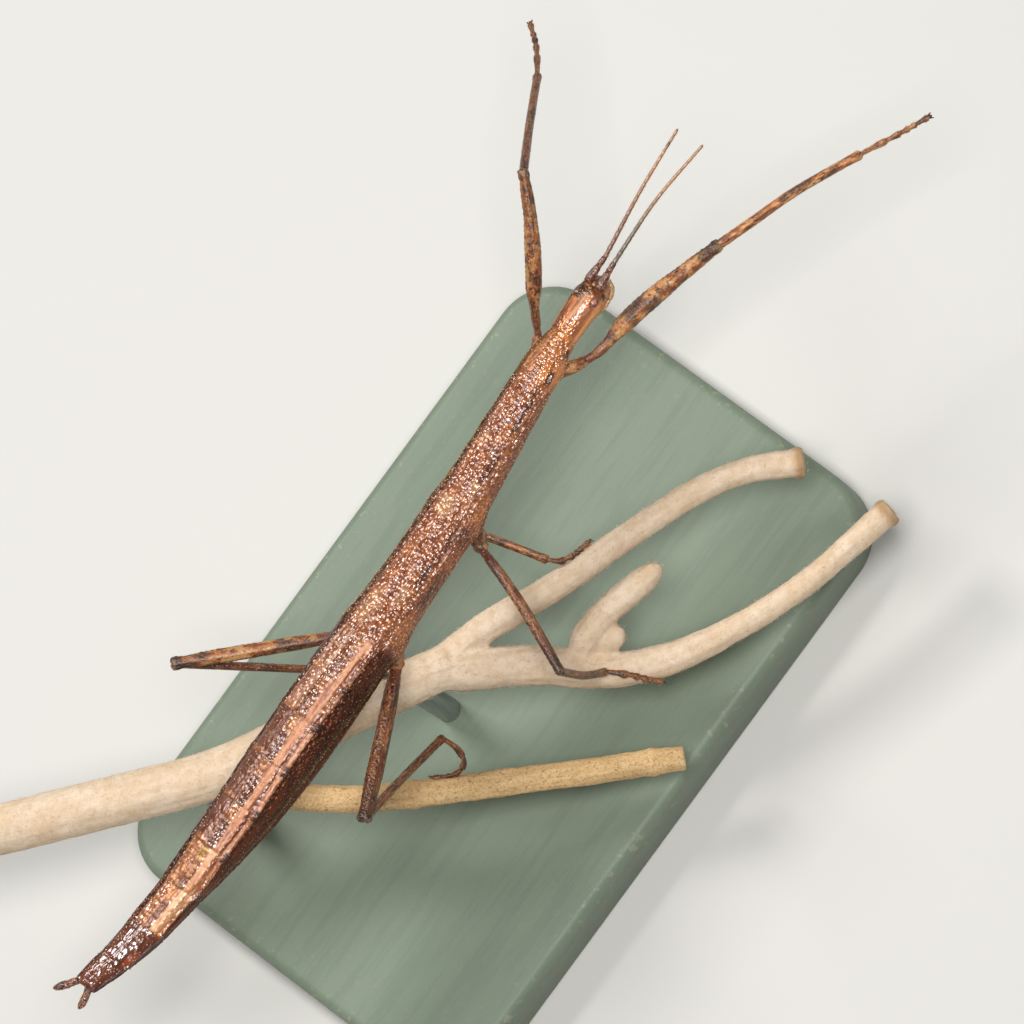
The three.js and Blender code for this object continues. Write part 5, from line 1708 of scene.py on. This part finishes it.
class INSECT_OT_twig(bpy.types.Operator):
    """Makes the felted twig with its forks, bud and fibres, and the brown side stem"""

    bl_idname = "insect.twig"
    bl_label = "Make the twig"

    def execute(self, context):
        opt = context.scene.insect_twig
        places = TwigPlaces()
        self.make_bark(opt, places)
        self.grow_fibres(opt, places)
        self.make_side_stem(opt)
        return {"FINISHED"}

    def make_bark(self, opt, places):
        mesh = joined_stems(opt.voxel)
        mesh.name = "twig_bark"
        corners = len(mesh.vertices)
        spots = np.empty(corners * 3, np.float32)
        normals = np.empty(corners * 3, np.float32)
        mesh.vertices.foreach_get("co", spots)
        mesh.vertex_normals.foreach_get("vector", normals)
        spots = spots.reshape(-1, 3).astype(float) / MM - HELD
        normals = normals.reshape(-1, 3).astype(float)
        near = places.nearest(spots)
        round_way, along = places.around(spots, near)
        facing = np.abs(np.sum(normals * places.tangents[near], 1))
        at_end = np.maximum(hill(places.shares[near], 0, 0.02), hill(places.shares[near], 1, 0.02))
        named = np.isin(places.stem[near], (0, 1, 2))
        cut = step(0.55, 0.8, facing) * at_end * named
        squeezed = np.column_stack((round_way, along * 0.1))
        high = 0.05 * lumps(squeezed, 0.34, 81) + 0.05 * lumps(spots, 1.3, 82)
        high = high + 0.03 * lumps(spots, 0.42, 83) + 0.03
        scar = np.zeros(corners)
        for name, share in SCARS.items():
            here = places.stem[near] == FELTED.index(name)
            rim = hill(places.shares[near], share, 0.012) * here
            high += 0.14 * rim
            scar = np.maximum(scar, rim)
        high = high * (1 - cut) - 0.1 * cut
        spots = spots + normals * high[:, None]
        mesh.vertices.foreach_set("co", ((spots + HELD) * MM).astype(np.float32).ravel())
        keep_marks(mesh, {
            "across": round_way[:, 0], "updown": round_way[:, 1], "along": along, "cut": cut,
            "scar": scar})
        nodes = ("main_stem", "upper_stalk", "lower_stalk", "bud_shoot")
        dressed(placed("twig_bark", mesh), felt_finish(opt), "felted_bark", *nodes)

    def grow_fibres(self, opt, places):
        random = np.random.default_rng(91)
        felt = Piece("twig_felt", "tone")
        tall = opt.fibre / MM
        for number, name in enumerate(FELTED):
            rings = stem_rings(name, 40)
            *_, radii, length = stem_course(name)
            area = 2 * np.pi * radii.mean() * length
            band = (0.2 * number, 0.2 * number + 0.2)
            spread = sown(rings, 1.0, int(area * opt.fibres), 0, random, band)
            spots, normals, heading, roots, _ = spread
            near = places.nearest(spots)
            buried = np.linalg.norm(spots - places.centres[near], axis=1) < places.radii[near] * 0.93
            keep = ~buried | (places.stem[near] == number)
            spots, normals, heading, roots = spots[keep], normals[keep], heading[keep], roots[keep]
            count = len(spots)
            sway = heading * random.choice((-1, 1), (count, 1)) + 0.8 * random.normal(size=(count, 3))
            tilt = 0.75 + 0.5 * random.random(count)
            long = tall * (0.5 + 0.7 * random.random(count))
            frames = standing(normals, sway, tilt, random)
            sizes = slender(0.011, long)
            felt.add_copies(hair_solid(0.6), spots, frames, sizes, roots, tone=random.random(count))
        felt.finish(fibre_finish(opt), "felted_bark")

    def make_side_stem(self, opt):
        line, radii = STEMS["side"]
        _, length = curve_through(line, [0.0, 1.0])
        chamfer = np.array([0.0, 0.0004, 0.0016, 0.004])
        shares = np.concatenate((chamfer, np.linspace(0.008, 0.992, 230), 1 - chamfer[::-1]))
        soft = np.ones(len(shares))
        soft[:4] = soft[:-5:-1] = (0.45, 0.82, 0.95, 1.0)
        width = 2 * eased(radii, shares) * soft * (1 + 0.2 * hill(shares, 0.06, 0.05))
        rings, turn, _ = limb_rings(line, shares, width, width, sides=72)
        angle = np.radians(turn)[None]
        across = np.cos(angle) * width[:, None] / 2
        updown = np.sin(angle) * width[:, None] / 2
        along = shares[:, None] * length
        squeezed = grid(across, updown, along * 0.08)
        high = 0.07 * lumps(squeezed, 0.3, 84) + 0.05 * lumps(rings, 1.0, 85) + 0.03 * lumps(rings, 0.3, 86)
        high = high + 0.12 * hill(shares[:, None], 0.42, 0.008) + 0.1 * hill(shares[:, None], 0.93, 0.01)
        cut = (np.arange(len(shares)) >= len(shares) - 3)[:, None] * 1.0
        stem = Piece("side_stem_bark", "across", "updown", "along", "cut")
        stem.add_tube(raised(rings, high * soft[:, None]), across=across, updown=updown, along=along, cut=cut)
        stem.finish(bark_finish(opt), "brown_bark", "side_stem")


# ---- the stand


def paint_finish(opt):
    paint = Finish("sage paint")
    strokes = paint.noise(1.1, 4.0, 0.6, stretch=0.08)
    grit = paint.noise(7.0, 2.0)
    cloud = paint.noise(0.08, 3.0)
    edge = paint.mark("edge")
    colour = paint.paint(
        opt.paint,
        (cloud.above(0.5, 0.2) * 0.3, (132, 145, 124)),
        (strokes.above(0.54, 0.08) * 0.22, (98, 110, 94)),
        (edge * paint.noise(1.6, 4).above(0.63, 0.03) * 0.4, (168, 164, 140)))
    rough = 0.42 + grit * 0.16
    height = strokes * 0.7 + grit * 0.3
    return paint.done(colour, rough, paint.bump(height, 0.06), Specular_IOR_Level=0.4)


def steel_finish(opt):
    steel = Finish("brushed steel")
    brush = steel.noise(9.0, 3.0, 0.6, where=steel.place(up=0.04))
    cloud = steel.noise(0.6, 2.0)
    colour = steel.mix(brush.above(0.5, 0.2) * 0.35 + cloud * 0.1, opt.steel, (134, 136, 140))
    rough = 0.2 + brush * 0.25
    return steel.done(colour, rough, steel.bump(brush, 0.01), Metallic=1.0)


BASE_CORNER = 5.0  # how round the base's corners are, seen from above


class INSECT_OT_stand(bpy.types.Operator):
    """Makes the painted base and the two steel rods that hold the twig"""

    bl_idname = "insect.stand"
    bl_label = "Make the stand"

    def execute(self, context):
        opt = context.scene.insect_stand
        self.make_base(opt)
        finish = steel_finish(opt)
        for end in ("front", "rear"):
            self.make_rod(finish, end)
        return {"FINISHED"}

    def make_base(self, opt):
        low, high = (np.array(corner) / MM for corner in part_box("stand_base"))
        rounding = opt.rounding / MM
        bend = np.linspace(0, np.pi / 2, 10)
        round_in = rounding * (1 - np.cos(bend))
        round_up = high[2] - rounding * (1 - np.sin(bend))
        inset = np.concatenate(([6.0, 0.6, 0.25, 0.0], round_in, [rounding + 0.4, 8.0, 14.0]))
        up = np.concatenate((low[2] + np.array([0, 0, 0.1, 0.35]), round_up, [high[2]] * 3))
        rings = [self.outline(low, high, move, z) for move, z in zip(inset, up)]
        edge = np.array([0, 0, 0, 0] + [1] * 10 + [0.3, 0, 0], float)
        base = Piece("stand_board", "edge")
        base.add_tube(np.array(rings) - HELD, edge=edge[:, None])
        base.finish(paint_finish(opt), "base_paint", "stand_base")

    def outline(self, low, high, inset, z):
        """A rectangle with rounded corners, drawn in by an inset."""
        radius = max(BASE_CORNER - inset, 0.6)
        half = (high[:2] - low[:2]) / 2 - inset - radius
        middle = (high[:2] + low[:2]) / 2
        points = []
        for k, (sx, sy) in enumerate(((1, 1), (-1, 1), (-1, -1), (1, -1))):
            for turn in np.linspace(0, np.pi / 2, 13) + k * np.pi / 2:
                x = middle[0] + sx * half[0] + radius * np.cos(turn)
                y = middle[1] + sy * half[1] + radius * np.sin(turn)
                points.append((x, y, z))
        return points

    def make_rod(self, finish, end):
        low, high = (np.array(corner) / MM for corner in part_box(f"stand_rod_{end}"))
        radius = (high[0] - low[0]) / 2
        tall = high[2] - low[2]
        shaft = np.linspace(0.12, tall - 0.3, 24)
        heights = np.concatenate(([0, 0.05], shaft, tall - np.array([0.18, 0.07, 0])))
        widths = np.concatenate(([0.92, 0.98], np.ones(24), [0.985, 0.93, 0.84]))
        turn = np.linspace(0, 2 * np.pi, 48, endpoint=False)
        x = (low[0] + high[0]) / 2 + radius * widths[:, None] * np.cos(turn)
        y = (low[1] + high[1]) / 2 + radius * widths[:, None] * np.sin(turn)
        rings = grid(x, y, low[2] + heights[:, None])
        rod = Piece(f"stand_rod_{end}_steel")
        rod.add_tube(rings - HELD)
        rod.finish(finish, "rod_steel", f"stand_rod_{end}")


# ---- floor, lights and camera


LOOK_AT = np.array((11.5, -0.5, 25.7))
VIEW_WIDTH = 79.2
LAMP_SIZE = 0.14  # in metres, like the floor's reach
FLOOR_REACH = 1.5
SENSOR_WIDTH = 36.0
VIEW_AXES = {"right": (0.592, -0.758, -0.276), "up": (0.806, 0.557, 0.203), "back": (0.0, -0.342, 0.940)}


def aimed(name, kind, place, at):
    """Places a light that points at a place."""
    made = placed(name, kind)
    made.location = Vector(place)
    made.rotation_euler = (Vector(at) - made.location).to_track_quat("-Z", "Y").to_euler()


class INSECT_OT_stage(bpy.types.Operator):
    """Lays the pale floor and sets the lights, the world and the camera"""

    bl_idname = "insect.stage"
    bl_label = "Set the stage"

    def execute(self, context):
        opt = context.scene.insect_stand
        self.lay_floor(opt)
        self.set_lights(opt)
        self.set_camera(context, opt)
        context.scene.view_settings.view_transform = "Standard"
        return {"FINISHED"}

    def lay_floor(self, opt):
        floor = Finish("floor")
        cloud = floor.noise(0.01, 3.0)
        colour = floor.mix(cloud.above(0.5, 0.2) * 0.12, opt.floor, (202, 199, 192))
        mesh = bpy.data.meshes.new("floor")
        corners = [(x * FLOOR_REACH, y * FLOOR_REACH, 0) for x, y in ((-1, -1), (1, -1), (1, 1), (-1, 1))]
        mesh.from_pydata(corners, [], [(0, 1, 2, 3)])
        mesh.materials.append(floor.done(colour, 0.7 + cloud * 0.1, Specular_IOR_Level=0.2))
        placed("floor", mesh)

    def set_lights(self, opt):
        at = LOOK_AT * MM
        lamps = (
            ("key_light", "DISK", opt.key_power, (0.0, -0.27, 0.96), 0.4),
            ("fill_light", "SQUARE", opt.fill_power, (0.0, 0.62, 0.78), 0.45))
        for name, shape, power, towards, away in lamps:
            lamp = bpy.data.lights.new(name, "AREA")
            lamp.shape = shape
            lamp.size = LAMP_SIZE
            lamp.energy = power
            aimed(name, lamp, at + unit(np.array(towards)) * away, at)
        world = bpy.data.worlds.new("studio")
        bpy.context.scene.world = world
        world.use_nodes = True
        sky = world.node_tree.nodes["Background"]
        sky.inputs["Color"].default_value = (0.93, 0.96, 1.0, 1.0)
        sky.inputs["Strength"].default_value = 0.15

    def set_camera(self, context, opt):
        camera = bpy.data.cameras.new("camera")
        camera.lens = opt.lens
        camera.sensor_width = SENSOR_WIDTH
        camera.clip_start = 0.01
        camera.clip_end = 10.0
        back = Vector(VIEW_AXES["back"]).normalized()
        up = back.cross(Vector(VIEW_AXES["right"])).normalized()
        turned = [up.cross(back), up, back]
        held = placed("camera", camera)
        away = VIEW_WIDTH * MM * opt.lens / SENSOR_WIDTH
        held.matrix_world = matrix_of(turned, Vector(LOOK_AT * MM) + back * away)
        context.scene.camera = held


def matrix_of(axes, place):
    """A placing matrix from three axes and a place."""
    rows = [[axes[0][k], axes[1][k], axes[2][k], place[k]] for k in range(3)]
    return Matrix(rows + [[0.0, 0.0, 0.0, 1.0]])


# ---- the add-on


MAKERS = (
    INSECT_OT_stage, INSECT_OT_body, INSECT_OT_face, INSECT_OT_tail, INSECT_OT_feelers, INSECT_OT_legs,
    INSECT_OT_twig, INSECT_OT_stand)
SETTINGS = {
    "insect_body": BodySettings, "insect_legs": LegSettings, "insect_feelers": FeelerSettings,
    "insect_twig": TwigSettings, "insect_stand": StandSettings}


class INSECT_PT_panel(bpy.types.Panel):
    """Lists the sizes, the colours and the makers of each piece"""

    bl_idname = "INSECT_PT_panel"
    bl_label = "Stick insect"
    bl_space_type = "VIEW_3D"
    bl_region_type = "UI"
    bl_category = "Stick insect"

    def draw(self, context):
        for name, group in SETTINGS.items():
            box = self.layout.box()
            for key in group.__annotations__:
                box.prop(getattr(context.scene, name), key)
        for maker in MAKERS:
            self.layout.operator(maker.bl_idname)


def register():
    for kind in (*SETTINGS.values(), *MAKERS, INSECT_PT_panel):
        bpy.utils.register_class(kind)
    for name, group in SETTINGS.items():
        setattr(bpy.types.Scene, name, bpy.props.PointerProperty(type=group))


def unregister():
    for name in SETTINGS:
        delattr(bpy.types.Scene, name)
    for kind in reversed((*SETTINGS.values(), *MAKERS, INSECT_PT_panel)):
        bpy.utils.unregister_class(kind)


def main():
    register()
    for maker in MAKERS:
        group, name = maker.bl_idname.split(".")
        getattr(getattr(bpy.ops, group), name)()


if __name__ == "__main__":
    main()
